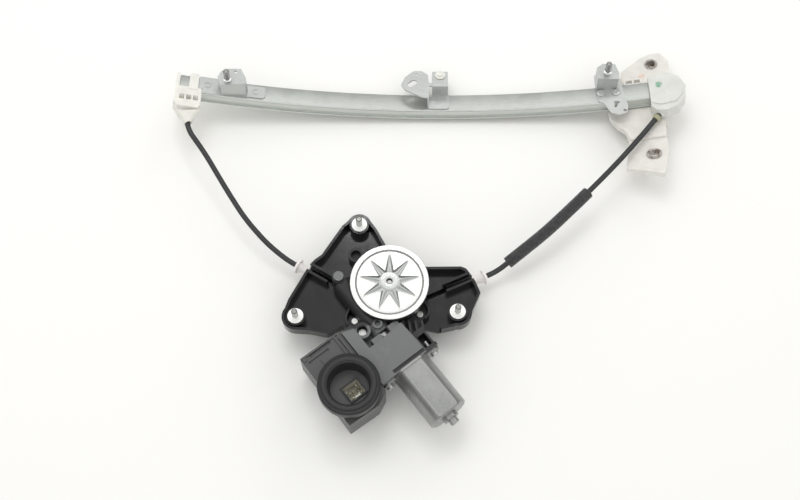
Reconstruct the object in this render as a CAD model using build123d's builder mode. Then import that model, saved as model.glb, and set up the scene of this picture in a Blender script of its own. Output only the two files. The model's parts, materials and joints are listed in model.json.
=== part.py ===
from build123d import *
from math import asin, cos, degrees, hypot, pi, radians, sin, tan
import os

# Cable window regulator: a bent guide rail with its brackets and glass carrier, two
# cable conduits, and a drum housing that carries the worm gear motor.
# Millimetres, +Z up. The regulator lies with the drum housing and the rail's belly on
# Z = 0, the rail along X and the motor towards -Y.

# ---- driving dimensions ----
RAIL_R = 1100.0  # bend radius of the rail, the same as the door glass
RAIL_TILT = 12.0  # lean of the rail about X, north edge down
RAIL_LOW = (10.4, 142.0, 12.1)  # top face of the web, mid width, at the lowest point
RAIL_LEFT = -265.0  # ends of the rail, as arc lengths from the lowest point
RAIL_RIGHT = 211.0
WEB_W = 22.0  # width over the two flanges
FLANGE_H = 9.5  # depth of the channel
LIP_W = 2.5  # width of each outward lip
RAIL_T = 1.2  # sheet thickness of the rail
BRACKET_T = 1.5  # sheet thickness of the brackets
CABLE_D = 1.6
CABLE_Y = 5.0  # place of the cable across the channel
CABLE_N = -5.0  # and its depth below the web's top face
CONDUIT_D = 5.2
STUD_D = 6.0  # M6 studs everywhere

DRUM_X, DRUM_Y = -41.3, -68.1  # axis of the drum and the worm wheel
DRUM_CABLE_R = 20.0  # radius of the cable on the drum
CENTRE_DISTANCE = 32.6  # drum axis to armature axis
MOTOR_ANGLE = -51.9  # direction of the armature axis in plan, degrees
ARMATURE_Z = 36.0
FLOOR_Z = 24.5  # top of the drum housing's floor, where the gear case sits
FLOOR_T = 2.5
RIM_Z = 35.0  # top of the housing's rim
PAD_Z = 35.5  # faces under the stud flanges
CASE_TOP = 50.6
PLATE_TOP = 50.0  # flat top of the gear case beside the can
BOX_TOP = 47.0  # flat top of the control box
LEAD_Z = {"lower": 17.8, "upper": 15.4}  # height of each cable at the drum
LEAD_ANGLE = {"lower": 149.6, "upper": 24.0}  # direction of each cable slot in plan

os.makedirs("parts", exist_ok=True)

# ---- frames ----
TILT = radians(RAIL_TILT)
ACROSS = Vector(0, cos(TILT), -sin(TILT))
DOOR_NORMAL = Vector(0, sin(TILT), cos(TILT))
ARC_CENTRE = Vector(*RAIL_LOW) + DOOR_NORMAL * RAIL_R
RAIL_AXIS = Axis(ARC_CENTRE, ACROSS)
S_DIR = Vector(cos(radians(MOTOR_ANGLE)), sin(radians(MOTOR_ANGLE)), 0)
W_DIR = Vector(-S_DIR.Y, S_DIR.X, 0)
WORM_FOOT = Vector(DRUM_X, DRUM_Y, 0) - W_DIR * CENTRE_DISTANCE


def rail_plane(along, across=0.0, lift=0.0):
    """Plane touching the web's top face: x along the rail, y across it, z away from it."""
    turn = along / RAIL_R
    tangent = Vector(cos(turn), 0, 0) + DOOR_NORMAL * sin(turn)
    normal = Vector(-sin(turn), 0, 0) + DOOR_NORMAL * cos(turn)
    origin = ARC_CENTRE - normal * (RAIL_R - lift) + ACROSS * across
    return Plane(origin=origin, x_dir=tangent, z_dir=normal)


def section_plane(along):
    """Plane square to the rail: x across it, y away from the web."""
    at = rail_plane(along)
    return Plane(origin=at.origin, x_dir=ACROSS, z_dir=at.x_dir)


def door_plane(along, x, y, lift):
    """Plane parallel to the door panel, through a point given on the rail plane."""
    at = rail_plane(along)
    return Plane(origin=at.from_local_coords((x, y, lift)), x_dir=(1, 0, 0), z_dir=DOOR_NORMAL)


def drum_level(z):
    return Plane(origin=(DRUM_X, DRUM_Y, z), x_dir=(1, 0, 0), z_dir=(0, 0, 1))


def motor_level(z):
    """Level plane with x along the armature and y towards the drum axis."""
    return Plane(origin=WORM_FOOT + Vector(0, 0, z), x_dir=S_DIR, z_dir=(0, 0, 1))


def motor_station(s):
    """Plane square to the armature: x towards the drum axis, y up."""
    origin = WORM_FOOT + S_DIR * s + Vector(0, 0, ARMATURE_Z)
    return Plane(origin=origin, x_dir=W_DIR, z_dir=S_DIR)


def lead_station(side, d):
    """Plane square to a cable slot, d from where the cable touches the drum."""
    angle = radians(LEAD_ANGLE[side])
    outward = Vector(cos(angle), sin(angle), 0)
    turn = 90 if side == "lower" else -90
    touch = radians(LEAD_ANGLE[side] + turn)
    origin = Vector(DRUM_X, DRUM_Y, LEAD_Z[side])
    origin += Vector(cos(touch), sin(touch), 0) * DRUM_CABLE_R + outward * d
    return Plane(origin=origin, x_dir=(-sin(angle), cos(angle), 0), z_dir=outward)


# ---- faces used by many parts ----
def outline(plane, points, radius=0.0):
    """Face inside a closed line of points, with its corners rounded."""
    with BuildSketch(plane) as face:
        with BuildLine():
            Polyline(*points, close=True)
        make_face()
        if radius > 0:
            fillet(face.vertices(), radius)
    return face.sketch


def ring(plane, outer, inner=0.0, centre=(0, 0)):
    with BuildSketch(plane) as face:
        with Locations(centre):
            Circle(outer)
            if inner > 0:
                Circle(inner, mode=Mode.SUBTRACT)
    return face.sketch


def panel(plane, x0, x1, y0, y1, radius=0.0):
    with BuildSketch(plane) as face:
        with Locations(((x0 + x1) / 2, (y0 + y1) / 2)):
            if radius > 0:
                RectangleRounded(x1 - x0, y1 - y0, radius)
            else:
                Rectangle(x1 - x0, y1 - y0)
    return face.sketch


def slot(plane, length, width, centre=(0, 0), turn=0.0):
    with BuildSketch(plane) as face:
        with Locations(centre):
            SlotOverall(length, width, rotation=turn)
    return face.sketch


def save(part, name):
    part.label = name
    export_step(part, f"parts/{name}.step")


# Solid below the web's top face, used to fit the feet of the brackets to the bent web.
with BuildPart() as under_web:
    with BuildSketch(section_plane(RAIL_RIGHT + 30)):
        with Locations((0, -14.98)):
            Rectangle(90, 30)
    revolve(axis=RAIL_AXIS, revolution_arc=degrees((RAIL_RIGHT - RAIL_LEFT + 60) / RAIL_R))


# ---- guide rail: roll-formed channel, open below, with outward lips ----
GUIDE_S = -256.2  # middle of the lower cable guide
PULLEY_S = 222.6  # middle of the upper pulley housing
LOWER_S = -210.2
CENTRE_S = 1.1
UPPER_S = 166.8
CARRIER_S = 215.5
RIVETS = ((-3.5, 0.9), (11.8, 0.1))
RIVET_R = 2.5
LIP_EDGE = WEB_W / 2 + LIP_W
INNER = WEB_W / 2 - RAIL_T
NOTCH = (-20, 13.5)  # the south flange stops short of the lower cable guide

with BuildPart() as guide_rail:
    with BuildSketch(section_plane(RAIL_RIGHT)) as rail_section:
        with BuildLine():
            Polyline(
                (-LIP_EDGE, -FLANGE_H), (-LIP_EDGE, RAIL_T - FLANGE_H),
                (-WEB_W / 2, RAIL_T - FLANGE_H), (-WEB_W / 2, 0),
                (WEB_W / 2, 0), (WEB_W / 2, RAIL_T - FLANGE_H),
                (LIP_EDGE, RAIL_T - FLANGE_H), (LIP_EDGE, -FLANGE_H),
                (INNER, -FLANGE_H), (INNER, -RAIL_T), (-INNER, -RAIL_T), (-INNER, -FLANGE_H),
                close=True,
            )
        make_face()
        fillet(rail_section.vertices().group_by(Axis.Y)[-1], 1.9)
        fillet(rail_section.vertices().group_by(Axis.Y)[-4], 0.7)
    revolve(axis=RAIL_AXIS, revolution_arc=degrees((RAIL_RIGHT - RAIL_LEFT) / RAIL_R))
    below = rail_plane(GUIDE_S, lift=-14)
    extrude(panel(below, NOTCH[0], NOTCH[1], -16, -INNER), amount=14 - RAIL_T, mode=Mode.SUBTRACT)
    extrude(slot(rail_plane(GUIDE_S, lift=-3), 7, 2.6, (-3.2, 5.2)), amount=5, mode=Mode.SUBTRACT)
    for x, y in RIVETS:
        hole = ring(rail_plane(UPPER_S, lift=-4), RIVET_R, centre=(x, y))
        extrude(hole, amount=6, mode=Mode.SUBTRACT)
save(guide_rail.part, "guide_rail")


# ---- lower bracket: two feet on the web and a raised seat for a stud ----
LOWER_STUD = (-8.8, -0.4)
LOWER_RISE = 16.0
CLINCH_R = 3.4


def clinch(plane):
    """Ring of a press joint between bracket and web."""
    extrude(ring(plane, CLINCH_R, CLINCH_R - 1.1), amount=0.5)


with BuildPart() as lower_bracket:
    foot = rail_plane(LOWER_S - 28.5, lift=-0.6)
    extrude(outline(foot, [(-7.4, -4.9), (-3.9, -4.9), (-3.9, -10.3), (17, -10.3), (17, 10.3), (-7.4, 10.3)]),
            amount=2.1)
    foot = rail_plane(LOWER_S + 19.5, lift=-0.6)
    extrude(outline(foot, [(-12, -8), (9, -8), (11, -5.5), (11, 6.5), (-12, 6.5)], 1), amount=2.1)
    seat = door_plane(LOWER_S, *LOWER_STUD, LOWER_RISE)
    seat_shape = [(-10, 2.6), (-7.1, 9.8), (-1.8, 13.2), (12.7, 13.2), (18.4, 1), (18, -6.5), (-6.5, -8.5)]
    extrude(outline(seat, seat_shape, 1.5), amount=-BRACKET_T)
    extrude(outline(seat, [(-6.5, -8.5), (18, -6.5), (18, -5), (-6.5, -7)]), amount=-22)
    extrude(outline(seat, [(-10, 2.6), (-6.5, -8.5), (-5, -8.2), (-8.4, 3.0)]), amount=-26)
    extrude(outline(seat, [(18.4, 1), (18, -6.5), (16.5, -6.4), (16.9, 1.0)]), amount=-22)
    add(under_web.part, mode=Mode.SUBTRACT)
    extrude(ring(seat, STUD_D / 2), amount=-4, mode=Mode.SUBTRACT)
    extrude(ring(seat, 1.6, centre=(7.7, 8.9)), amount=-4, mode=Mode.SUBTRACT)
    clinch(rail_plane(LOWER_S - 27.9, 0.4, BRACKET_T - 0.02))
    clinch(rail_plane(LOWER_S + 20.5, -0.8, BRACKET_T - 0.02))
save(lower_bracket.part, "lower_bracket")


def stud(seat, length, head_r, name):
    """Clinch stud: head under the sheet, collar on it and a plain shank for an M6 thread."""
    with BuildPart() as body:
        under = Plane(origin=seat.origin - seat.z_dir * (BRACKET_T + 1.2), x_dir=seat.x_dir, z_dir=seat.z_dir)
        extrude(ring(under, head_r), amount=1.2)
        extrude(ring(under, STUD_D / 2), amount=BRACKET_T + 1.2 + length)
        extrude(ring(seat, STUD_D / 2 + 1.3), amount=0.7)
        chamfer(body.edges().filter_by(GeomType.CIRCLE).sort_by(Axis(seat.origin, seat.z_dir))[-1], 0.8)
    save(body.part, name)


stud(door_plane(LOWER_S, *LOWER_STUD, LOWER_RISE), 12.5, 5.2, "lower_bracket_stud")


# ---- centre bracket: foot, raised block with a snap button, and a slotted ear ----
BLOCK_RISE = 15.5
BUTTON = (-1.8, 23.0)
EAR_SLOT = (-30.5, 13.5)
EAR_PIN = (-26.5, 26.0)
with BuildPart() as centre_bracket:
    foot = rail_plane(CENTRE_S, lift=-0.6)
    foot_shape = [(-15, -7), (-13, -9), (5, -9), (7, -7), (7, 10.2), (-15, 10.2)]
    extrude(outline(foot, foot_shape, 1), amount=2.1)
    top = rail_plane(CENTRE_S, lift=BLOCK_RISE - BRACKET_T)
    extrude(panel(top, -10, 6, 8.7, 28.5, 1), amount=BRACKET_T)
    extrude(panel(rail_plane(CENTRE_S), -10, 6, 8.7, 8.7 + BRACKET_T), amount=BLOCK_RISE - 0.1)
    for x in (-10, 4.5):
        side = rail_plane(CENTRE_S, lift=7)
        extrude(panel(side, x, x + BRACKET_T, 8.7, 27), amount=BLOCK_RISE - 8)
    ear = rail_plane(CENTRE_S, lift=13)
    ear_shape = [(-42, 12), (-38, 22), (-29, 30.5), (-20.5, 30.5), (-14.2, 25), (-13.5, 12), (-13.5, -6),
                 (-22, -4), (-38.5, 5.5)]
    extrude(outline(ear, ear_shape, 2.5), amount=BRACKET_T)
    extrude(panel(rail_plane(CENTRE_S), -15, -13.5, -6, 10.2), amount=14)
    extrude(panel(ear, -15, -8.6, 10.4, 14), amount=BRACKET_T)
    add(under_web.part, mode=Mode.SUBTRACT)
    extrude(slot(ear, 11, 6.4, EAR_SLOT, 42), amount=5, mode=Mode.SUBTRACT)
    extrude(ring(ear, 1.3, centre=EAR_PIN), amount=5, mode=Mode.SUBTRACT)
    extrude(ring(top, 3.2, centre=BUTTON), amount=5, mode=Mode.SUBTRACT)
    clinch(rail_plane(CENTRE_S - 4.0, 0.5, BRACKET_T - 0.02))
save(centre_bracket.part, "centre_bracket")

with BuildPart() as centre_clip:
    seat = rail_plane(CENTRE_S, lift=BLOCK_RISE)
    extrude(ring(seat, 5.2, centre=BUTTON), amount=1.6)
    extrude(ring(seat, 3.6, centre=BUTTON), amount=3.2, taper=12)
    extrude(ring(seat, 3.2, centre=BUTTON), amount=-BRACKET_T)
    below = rail_plane(CENTRE_S, lift=BLOCK_RISE - BRACKET_T)
    extrude(ring(below, 3.8, centre=BUTTON), amount=-3.5, taper=18)
save(centre_clip.part, "centre_bracket_clip")


# ---- upper bracket: riveted plate, raised stud seat and a slotted lower ear ----
UPPER_STUD = (4.9, 15.0)
UPPER_RISE = 18.0
with BuildPart() as upper_bracket:
    base_shape = [(-8.5, 26), (-7, -9), (-2, -12), (4, -25), (12.5, -29), (20, -27), (22.2, -18),
                  (19.8, -7.4), (18, 10), (16, 26)]
    extrude(outline(rail_plane(UPPER_S), base_shape, 2), amount=BRACKET_T)
    seat = door_plane(UPPER_S, *UPPER_STUD, UPPER_RISE)
    seat_shape = [(-10.5, 5), (-4, 10.3), (8.5, 9.5), (11.5, -3), (10, -10.5), (-10.5, -9.5)]
    extrude(outline(seat, seat_shape, 1.5), amount=-BRACKET_T)
    extrude(outline(seat, [(-10.5, -9.5), (10, -10.5), (10, -9), (-10.5, -8)]), amount=-24)
    extrude(outline(seat, [(-10.5, 5), (-10.5, -9.5), (-9, -9.5), (-9, 6.2)]), amount=-24)
    extrude(outline(seat, [(11.5, -3), (10, -10.5), (8.5, -10.4), (10, -3)]), amount=-24)
    add(under_web.part, mode=Mode.SUBTRACT)
    extrude(ring(seat, STUD_D / 2), amount=-4, mode=Mode.SUBTRACT)
    for x, y in RIVETS:
        extrude(ring(rail_plane(UPPER_S, lift=-1), RIVET_R, centre=(x, y)), amount=4, mode=Mode.SUBTRACT)
    cut = rail_plane(UPPER_S, lift=-1)
    extrude(slot(cut, 8, 2.6, (10.5, -15), 70), amount=4, mode=Mode.SUBTRACT)
    extrude(slot(cut, 6, 2.6, (11.4, -12.4), -20), amount=4, mode=Mode.SUBTRACT)
    extrude(ring(cut, 1.6, centre=(18.2, -23.5)), amount=4, mode=Mode.SUBTRACT)
save(upper_bracket.part, "upper_bracket")

stud(door_plane(UPPER_S, *UPPER_STUD, UPPER_RISE), 12.5, 5.2, "upper_bracket_stud")

with BuildPart() as upper_rivets:
    for x, y in RIVETS:
        head = rail_plane(UPPER_S, lift=BRACKET_T)
        extrude(ring(head, 4.4, centre=(x, y)), amount=1.1, taper=25)
        extrude(ring(head, 2.0, centre=(x, y)), amount=1.5)
        extrude(ring(head, RIVET_R, centre=(x, y)), amount=-3.2)
save(upper_rivets.part, "upper_bracket_rivets")


# ---- lower cable guide: clipped on the rail's end, turns the cable into its conduit ----
GUIDE_EXIT = (3.5, -45.0, -8.0)  # mouth of the funnel on the guide's rail plane
GUIDE_OUT = (0.208, -0.978, 0.0)
guide_at = rail_plane(GUIDE_S)
guide_mouth = guide_at.from_local_coords(GUIDE_EXIT)
guide_out = (guide_at.x_dir * GUIDE_OUT[0] + guide_at.y_dir * GUIDE_OUT[1]).normalized()
funnel_top = Plane(origin=guide_mouth - guide_out * 18.5, x_dir=guide_at.x_dir - guide_out * 0.208,
                   z_dir=guide_out)

with BuildPart() as lower_guide:
    low = rail_plane(GUIDE_S, lift=-11)
    south = [(-13, -11.3), (-13, -26), (-9, -31), (11, -31), (13.2, -26), (13.2, -11.3)]
    extrude(outline(low, south), amount=12.8)
    extrude(panel(rail_plane(GUIDE_S, lift=-9.2), -9.4, 12.8, -11.5, 9.3), amount=7.8)
    extrude(panel(low, -13, -9.2, -12, 11, 1), amount=12.8)
    extrude(panel(rail_plane(GUIDE_S, lift=0.15), -12.9, 13.2, -13, -5.5), amount=1.65)
    extrude(panel(rail_plane(GUIDE_S, lift=0.15), 0.2, 9.4, -8, 11.6, 1), amount=2.2)
    extrude(panel(rail_plane(GUIDE_S, lift=-7.5), 1.5, 8, 11.3, 12.6), amount=9.85)
    extrude(panel(rail_plane(GUIDE_S, lift=0.15), 1.5, 8, 10, 12.6), amount=2.2)
    with BuildSketch(funnel_top):
        RectangleRounded(21, 11, 3)
    extrude(amount=18.5, taper=17)
    for x in (-5.6, 1.4, 8.0):
        window = rail_plane(GUIDE_S, lift=-6)
        extrude(panel(window, x - 2.5, x + 2.5, -22, -15.5, 0.8), amount=9, mode=Mode.SUBTRACT)
    seat = Plane(origin=guide_mouth + guide_out, x_dir=funnel_top.x_dir, z_dir=guide_out)
    extrude(ring(seat, CONDUIT_D / 2), amount=-11, mode=Mode.SUBTRACT)
    extrude(ring(seat, 1.2), amount=-36, mode=Mode.SUBTRACT)
    extrude(panel(rail_plane(GUIDE_S, lift=-9.3), -2, 14, CABLE_Y - 1.3, CABLE_Y + 1.3), amount=6,
            mode=Mode.SUBTRACT)
save(lower_guide.part, "lower_cable_guide")


# ---- upper pulley housing: turns the cable round a pulley into the upper conduit ----
PULLEY_AT = (2.6, -5.0)
PULLEY_CABLE_R = 10.0
EXIT_TURN = 129.5  # how far the cable wraps, degrees
exit_dir = Vector(cos(radians(-EXIT_TURN)), sin(radians(-EXIT_TURN)), 0)
exit_from = (PULLEY_AT[0] + PULLEY_CABLE_R * sin(radians(EXIT_TURN)),
             PULLEY_AT[1] + PULLEY_CABLE_R * cos(radians(EXIT_TURN)))
pulley_plane = rail_plane(PULLEY_S)


def exit_station(d):
    """Plane square to the cable where it leaves the pulley, d from the pulley."""
    local = Vector(exit_from[0], exit_from[1], CABLE_N) + exit_dir * d
    out = pulley_plane.x_dir * exit_dir.X + pulley_plane.y_dir * exit_dir.Y
    return Plane(origin=pulley_plane.from_local_coords(local), x_dir=pulley_plane.z_dir, z_dir=out)


with BuildPart() as pulley_housing:
    body_shape = [(-11.3, 16.5), (9, 16.5), (19, 10.5), (24.8, -3), (22.5, -15), (15, -26), (4, -31),
                  (-6, -30), (-11.3, -24)]
    extrude(outline(rail_plane(PULLEY_S, lift=-10.4), body_shape, 3), amount=14)
    extrude(outline(rail_plane(PULLEY_S, lift=3.5), [(-11, 14), (8, 14), (17, 8.5), (22, -4), (20, -14),
                                                     (13, -22), (-2, -24), (-11, -20)], 3), amount=1.6)
    extrude(panel(rail_plane(PULLEY_S, lift=-9), -20, -10.6, -9.1, 9.1, 1), amount=7.6)
    extrude(ring(exit_station(10), 5.2), amount=14, taper=4)
    cavity = rail_plane(PULLEY_S, lift=-8.5)
    extrude(ring(cavity, 12.6, centre=PULLEY_AT), amount=7, mode=Mode.SUBTRACT)
    extrude(panel(rail_plane(PULLEY_S, lift=-9.2), -21, 2, CABLE_Y - 1.4, CABLE_Y + 1.4), amount=5.7,
            mode=Mode.SUBTRACT)
    extrude(ring(exit_station(2), 1.3), amount=14, mode=Mode.SUBTRACT)
    extrude(ring(exit_station(13), CONDUIT_D / 2), amount=14, mode=Mode.SUBTRACT)
    extrude(ring(rail_plane(PULLEY_S, lift=-12), 3.0, centre=PULLEY_AT), amount=15, mode=Mode.SUBTRACT)
save(pulley_housing.part, "upper_pulley_housing")

with BuildPart() as upper_pulley:
    base = rail_plane(PULLEY_S, lift=-8.0)
    extrude(ring(base, 12.2, 3.05, centre=PULLEY_AT), amount=6)
    groove_at = rail_plane(PULLEY_S).from_local_coords((PULLEY_AT[0], PULLEY_AT[1], CABLE_N))
    groove = Plane(origin=groove_at, x_dir=pulley_plane.x_dir, z_dir=-pulley_plane.y_dir)
    with BuildSketch(groove):
        with BuildLine():
            Polyline((9.0, -0.9), (9.0, 0.9), (13, 2.2), (13, -2.2), close=True)
        make_face()
    revolve(axis=Axis(groove_at, pulley_plane.z_dir), mode=Mode.SUBTRACT)
save(upper_pulley.part, "upper_pulley")

with BuildPart() as pulley_pin:
    extrude(ring(rail_plane(PULLEY_S, lift=-10.4), 3.0, centre=PULLEY_AT), amount=12.6)
save(pulley_pin.part, "upper_pulley_pin")


# ---- glass carrier: moulded plate under the rail, with two bushed glass holes ----
PLATE_N = -11.0  # top of the carrier's plate below the web's top face
PLATE_T = 7.0
LEG_N = -14.0
ROUND_BUSH = (2.3, 42.8)
LONG_BUSH = (-7.5, -71.0)
SLOT_GAP = 1.6  # half width of the cable's way through the carrier
NIPPLE_Y = 2.2
with BuildPart() as glass_carrier:
    upper_shape = [(-47, -12), (-46, -21), (-40, -32), (-32, -40), (-28, -52), (7, -52), (9, -15),
                   (20, 15), (20, 45), (13, 57), (2.5, 57.5), (-8.5, 53), (-29, 37), (-29, 12), (-44, 7)]
    top = rail_plane(CARRIER_S, lift=PLATE_N)
    extrude(outline(top, upper_shape, 2.5), amount=-PLATE_T)
    inner_shape = [(-44, -12), (-43, -20), (-37.5, -30), (-29.5, -38.5), (-25.5, -49), (4.5, -49), (6.4, -14),
                   (17, 16), (17, 30), (-26, 30), (-26, 9.5), (-42, 4.5)]
    under = rail_plane(CARRIER_S, lift=PLATE_N - PLATE_T)
    extrude(outline(under, inner_shape, 1.5), amount=PLATE_T - 2.6, mode=Mode.SUBTRACT)
    for x in (-30, -16, -2):
        extrude(panel(under, x - 1, x + 1, -50, 31), amount=PLATE_T - 2.5)
    for y in (-36, -18, 0, 16):
        extrude(panel(under, -28, 10, y - 1, y + 1), amount=PLATE_T - 2.5)
    leg_shape = [(-29, -48), (7.2, -48), (7.2, -68), (0.5, -96), (-36, -84.5), (-31.5, -62)]
    leg = rail_plane(CARRIER_S, lift=LEG_N)
    extrude(outline(leg, leg_shape, 2), amount=-6)
    leg_inner = [(-26, -52), (4.6, -52), (4.6, -67.5), (-1.3, -92.5), (-33, -82.5), (-28.8, -63)]
    extrude(outline(rail_plane(CARRIER_S, lift=LEG_N - 6), leg_inner, 1.5), amount=3.6, mode=Mode.SUBTRACT)
    leg_under = rail_plane(CARRIER_S, lift=LEG_N - 6)
    extrude(slot(leg_under, 18, 14.5, LONG_BUSH), amount=6)
    extrude(ring(under, 9, centre=ROUND_BUSH), amount=PLATE_T)
    # shoe over the north lip and a rib inside the channel
    extrude(panel(top, -28, -10, 14.2, 21.5), amount=5.5)
    extrude(panel(rail_plane(CARRIER_S, lift=-7.3), -28, -10, 11.9, 21.5, 0.6), amount=2.3)
    for x in (-25.6, -17.6):
        opening = rail_plane(CARRIER_S, lift=-9)
        extrude(panel(opening, x, x + 6, 15.6, 19.6), amount=6, mode=Mode.SUBTRACT)
    extrude(panel(top, -46, -28, -9.1, -7.1), amount=8)
    extrude(panel(top, -44, -31, 1.2, 8.8), amount=8)
    way = rail_plane(CARRIER_S, lift=PLATE_N - 0.5)
    extrude(panel(way, -50, -25, CABLE_Y - SLOT_GAP, CABLE_Y + SLOT_GAP), amount=10, mode=Mode.SUBTRACT)
    for x in (-42.0, -34.0):
        extrude(ring(rail_plane(CARRIER_S, lift=-8), 1.6, centre=(x, NIPPLE_Y)), amount=6, mode=Mode.SUBTRACT)
    extrude(ring(rail_plane(CARRIER_S, lift=-20), 5.2, centre=ROUND_BUSH), amount=12, mode=Mode.SUBTRACT)
    extrude(slot(rail_plane(CARRIER_S, lift=-22), 13, 10.4, LONG_BUSH), amount=12, mode=Mode.SUBTRACT)
save(glass_carrier.part, "glass_carrier")

with BuildPart() as round_bush:
    base = rail_plane(CARRIER_S, lift=PLATE_N - PLATE_T - 0.6)
    extrude(ring(base, 5.2, 4.1, ROUND_BUSH), amount=PLATE_T + 0.6)
    extrude(ring(rail_plane(CARRIER_S, lift=PLATE_N), 6.4, 4.1, ROUND_BUSH), amount=1.0)
save(round_bush.part, "carrier_round_bush")

with BuildPart() as long_bush:
    base = rail_plane(CARRIER_S, lift=LEG_N - 6.6)
    extrude(slot(base, 13, 10.4, LONG_BUSH), amount=6.6)
    extrude(slot(rail_plane(CARRIER_S, lift=LEG_N), 14.6, 12, LONG_BUSH), amount=1.2)
    extrude(slot(base, 10, 7.2, LONG_BUSH), amount=12, mode=Mode.SUBTRACT)
save(long_bush.part, "carrier_long_bush")

with BuildPart() as carrier_nipples:
    for x in (-42.0, -34.0):
        extrude(ring(rail_plane(CARRIER_S, lift=-8), 1.6, centre=(x, NIPPLE_Y)), amount=4.6)
save(carrier_nipples.part, "carrier_cable_nipples")


# ---- cable in the rail, conduits and their fittings ----
with BuildPart() as rail_cable:
    with BuildSketch(section_plane(PULLEY_S)):
        with Locations((CABLE_Y, CABLE_N)):
            Circle(CABLE_D / 2)
    revolve(axis=RAIL_AXIS, revolution_arc=degrees((PULLEY_S - GUIDE_S) / RAIL_R))
save(rail_cable.part, "rail_cable")


def bend_radii(points):
    """Largest arc that each corner's two runs allow."""
    radii = []
    for before, corner, after in zip(points, points[1:], points[2:]):
        arriving = Vector(*corner) - Vector(*before)
        leaving = Vector(*after) - Vector(*corner)
        turn = radians(arriving.get_angle(leaving))
        radii.append(0.45 * min(arriving.length, leaving.length) / tan(turn / 2))
    return radii


def route_wire(points):
    with BuildLine() as route:
        FilletPolyline(*points, radius=bend_radii(points))
    return route.wire()


def tube(path, outer, inner=0.0):
    start = Plane(origin=path @ 0, z_dir=path % 0)
    with BuildPart() as body:
        with BuildSketch(start):
            Circle(outer)
            if inner > 0:
                Circle(inner, mode=Mode.SUBTRACT)
        sweep(path=path)
    return body.part


def near(plane_point):
    return (plane_point.X, plane_point.Y, plane_point.Z)


lower_start = near(guide_mouth - guide_out * 10)
lower_turn = near(guide_mouth + guide_out * 8)
LOWER_ROUTE = [
    lower_start, lower_turn, (-223.0, 71.0, 39.0), (-201.5, 35.6, 33.2), (-181.8, 5.6, 28.4),
    (-160.0, -18.2, 23.2), near(lead_station("lower", 104).origin), near(lead_station("lower", 84).origin),
]
upper_start = near(exit_station(13).origin)
upper_turn = near(exit_station(46).origin)
UPPER_ROUTE = [
    upper_start, upper_turn, (183.0, 62.5, 38.4), (147.5, 26.5, 35.6), (110.0, -8.5, 30.0),
    (81.5, -30.2, 23.4), near(lead_station("upper", 104).origin), near(lead_station("upper", 84).origin),
]
lower_wire = route_wire(LOWER_ROUTE)
upper_wire = route_wire(UPPER_ROUTE)
print("lower radii", [round(r) for r in bend_radii(LOWER_ROUTE)], "length", round(lower_wire.length, 1))
print("upper radii", [round(r) for r in bend_radii(UPPER_ROUTE)], "length", round(upper_wire.length, 1))
lower_conduit = tube(lower_wire, CONDUIT_D / 2)
upper_conduit = tube(upper_wire, CONDUIT_D / 2)
save(lower_conduit, "lower_conduit")
save(upper_conduit, "upper_conduit")

FOAM_R = 5.85
FOAM_SPAN = (0.475, 0.875)  # stretch of the upper conduit that the foam covers
foam_wire = upper_wire.trim(*FOAM_SPAN)
foam_sleeve = tube(foam_wire, FOAM_R, CONDUIT_D / 2)
save(foam_sleeve, "foam_sleeve")

with BuildPart() as ferrule:
    extrude(ring(exit_station(26.2), 3.5, CONDUIT_D / 2), amount=5)
save(ferrule.part, "upper_conduit_ferrule")


def end_cap(side):
    """Moulded cap on a conduit: flange, body and a sleeve that lies in the housing's slot."""
    with BuildPart() as cap:
        extrude(ring(lead_station(side, 87), 6.6), amount=3.2)
        extrude(ring(lead_station(side, 79), 3.7), amount=9, taper=-5)
        extrude(ring(lead_station(side, 50), 1.45), amount=30)
        extrude(ring(lead_station(side, 48), 2.4), amount=4)
        extrude(ring(lead_station(side, 84), CONDUIT_D / 2), amount=10, mode=Mode.SUBTRACT)
        extrude(ring(lead_station(side, 40), 0.95), amount=60, mode=Mode.SUBTRACT)
    save(cap.part, f"{side}_conduit_cap")


def slack_spring(side):
    """Spring round the cap's sleeve that takes up the cable's slack."""
    with BuildPart() as spring:
        extrude(ring(lead_station(side, 52.2), 2.3, 1.5), amount=26.6)
    save(spring.part, f"{side}_slack_spring")


for side in ("lower", "upper"):
    end_cap(side)
    slack_spring(side)

with BuildPart() as cable_leads:
    for side in ("lower", "upper"):
        extrude(ring(lead_station(side, 0), CABLE_D / 2), amount=84)
save(cable_leads.part, "drum_cable_leads")


# ---- drum housing: star-shaped moulding with three stud legs, trays and cable slots ----
STUDS = {"top": (-29.3, 64.7), "left": (-87.9, -27.6), "right": (63.8, -23.3)}
LEG_R = {"top": 11.3, "left": 13.0, "right": 13.5}
RIM_T = 2.6
BOSS_R = 9.2
SLOT_W = 5.2
SLOT_WALL = 2.4
POCKET_R = 24.2
POCKET_WALL = 2.6
CASE_CLEAR_R = 37.4
STAR = [(-76.7, 23.1), (-71.9, 28.7), (-64.9, 34.1), (-46, 63.7), (-39.5, 69.8), (-20, 70.5), (-12.9, 60.8),
        (-4, 44.2), (6, 30), (35.3, 21.8), (68, 22.1), (72.6, 20), (78.1, 12.3), (81.3, 6.6), (85.7, -4.4),
        (77, -23.5), (73, -32), (60.9, -37.4), (45.4, -40.9), (37.5, -38.4), (15, -37), (-10, -38),
        (-30, -30), (-46, -38), (-57.5, -44.9), (-74.7, -41.4), (-89, -40.7), (-97, -36), (-100.3, -25.8),
        (-95.1, -10.6), (-80, 17)]


def slot_frame(side, z):
    """Level plane with x along a cable slot, from the point where the cable leaves the drum."""
    at = lead_station(side, 0)
    return Plane(origin=(at.origin.X, at.origin.Y, z), x_dir=at.z_dir, z_dir=(0, 0, 1))


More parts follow.
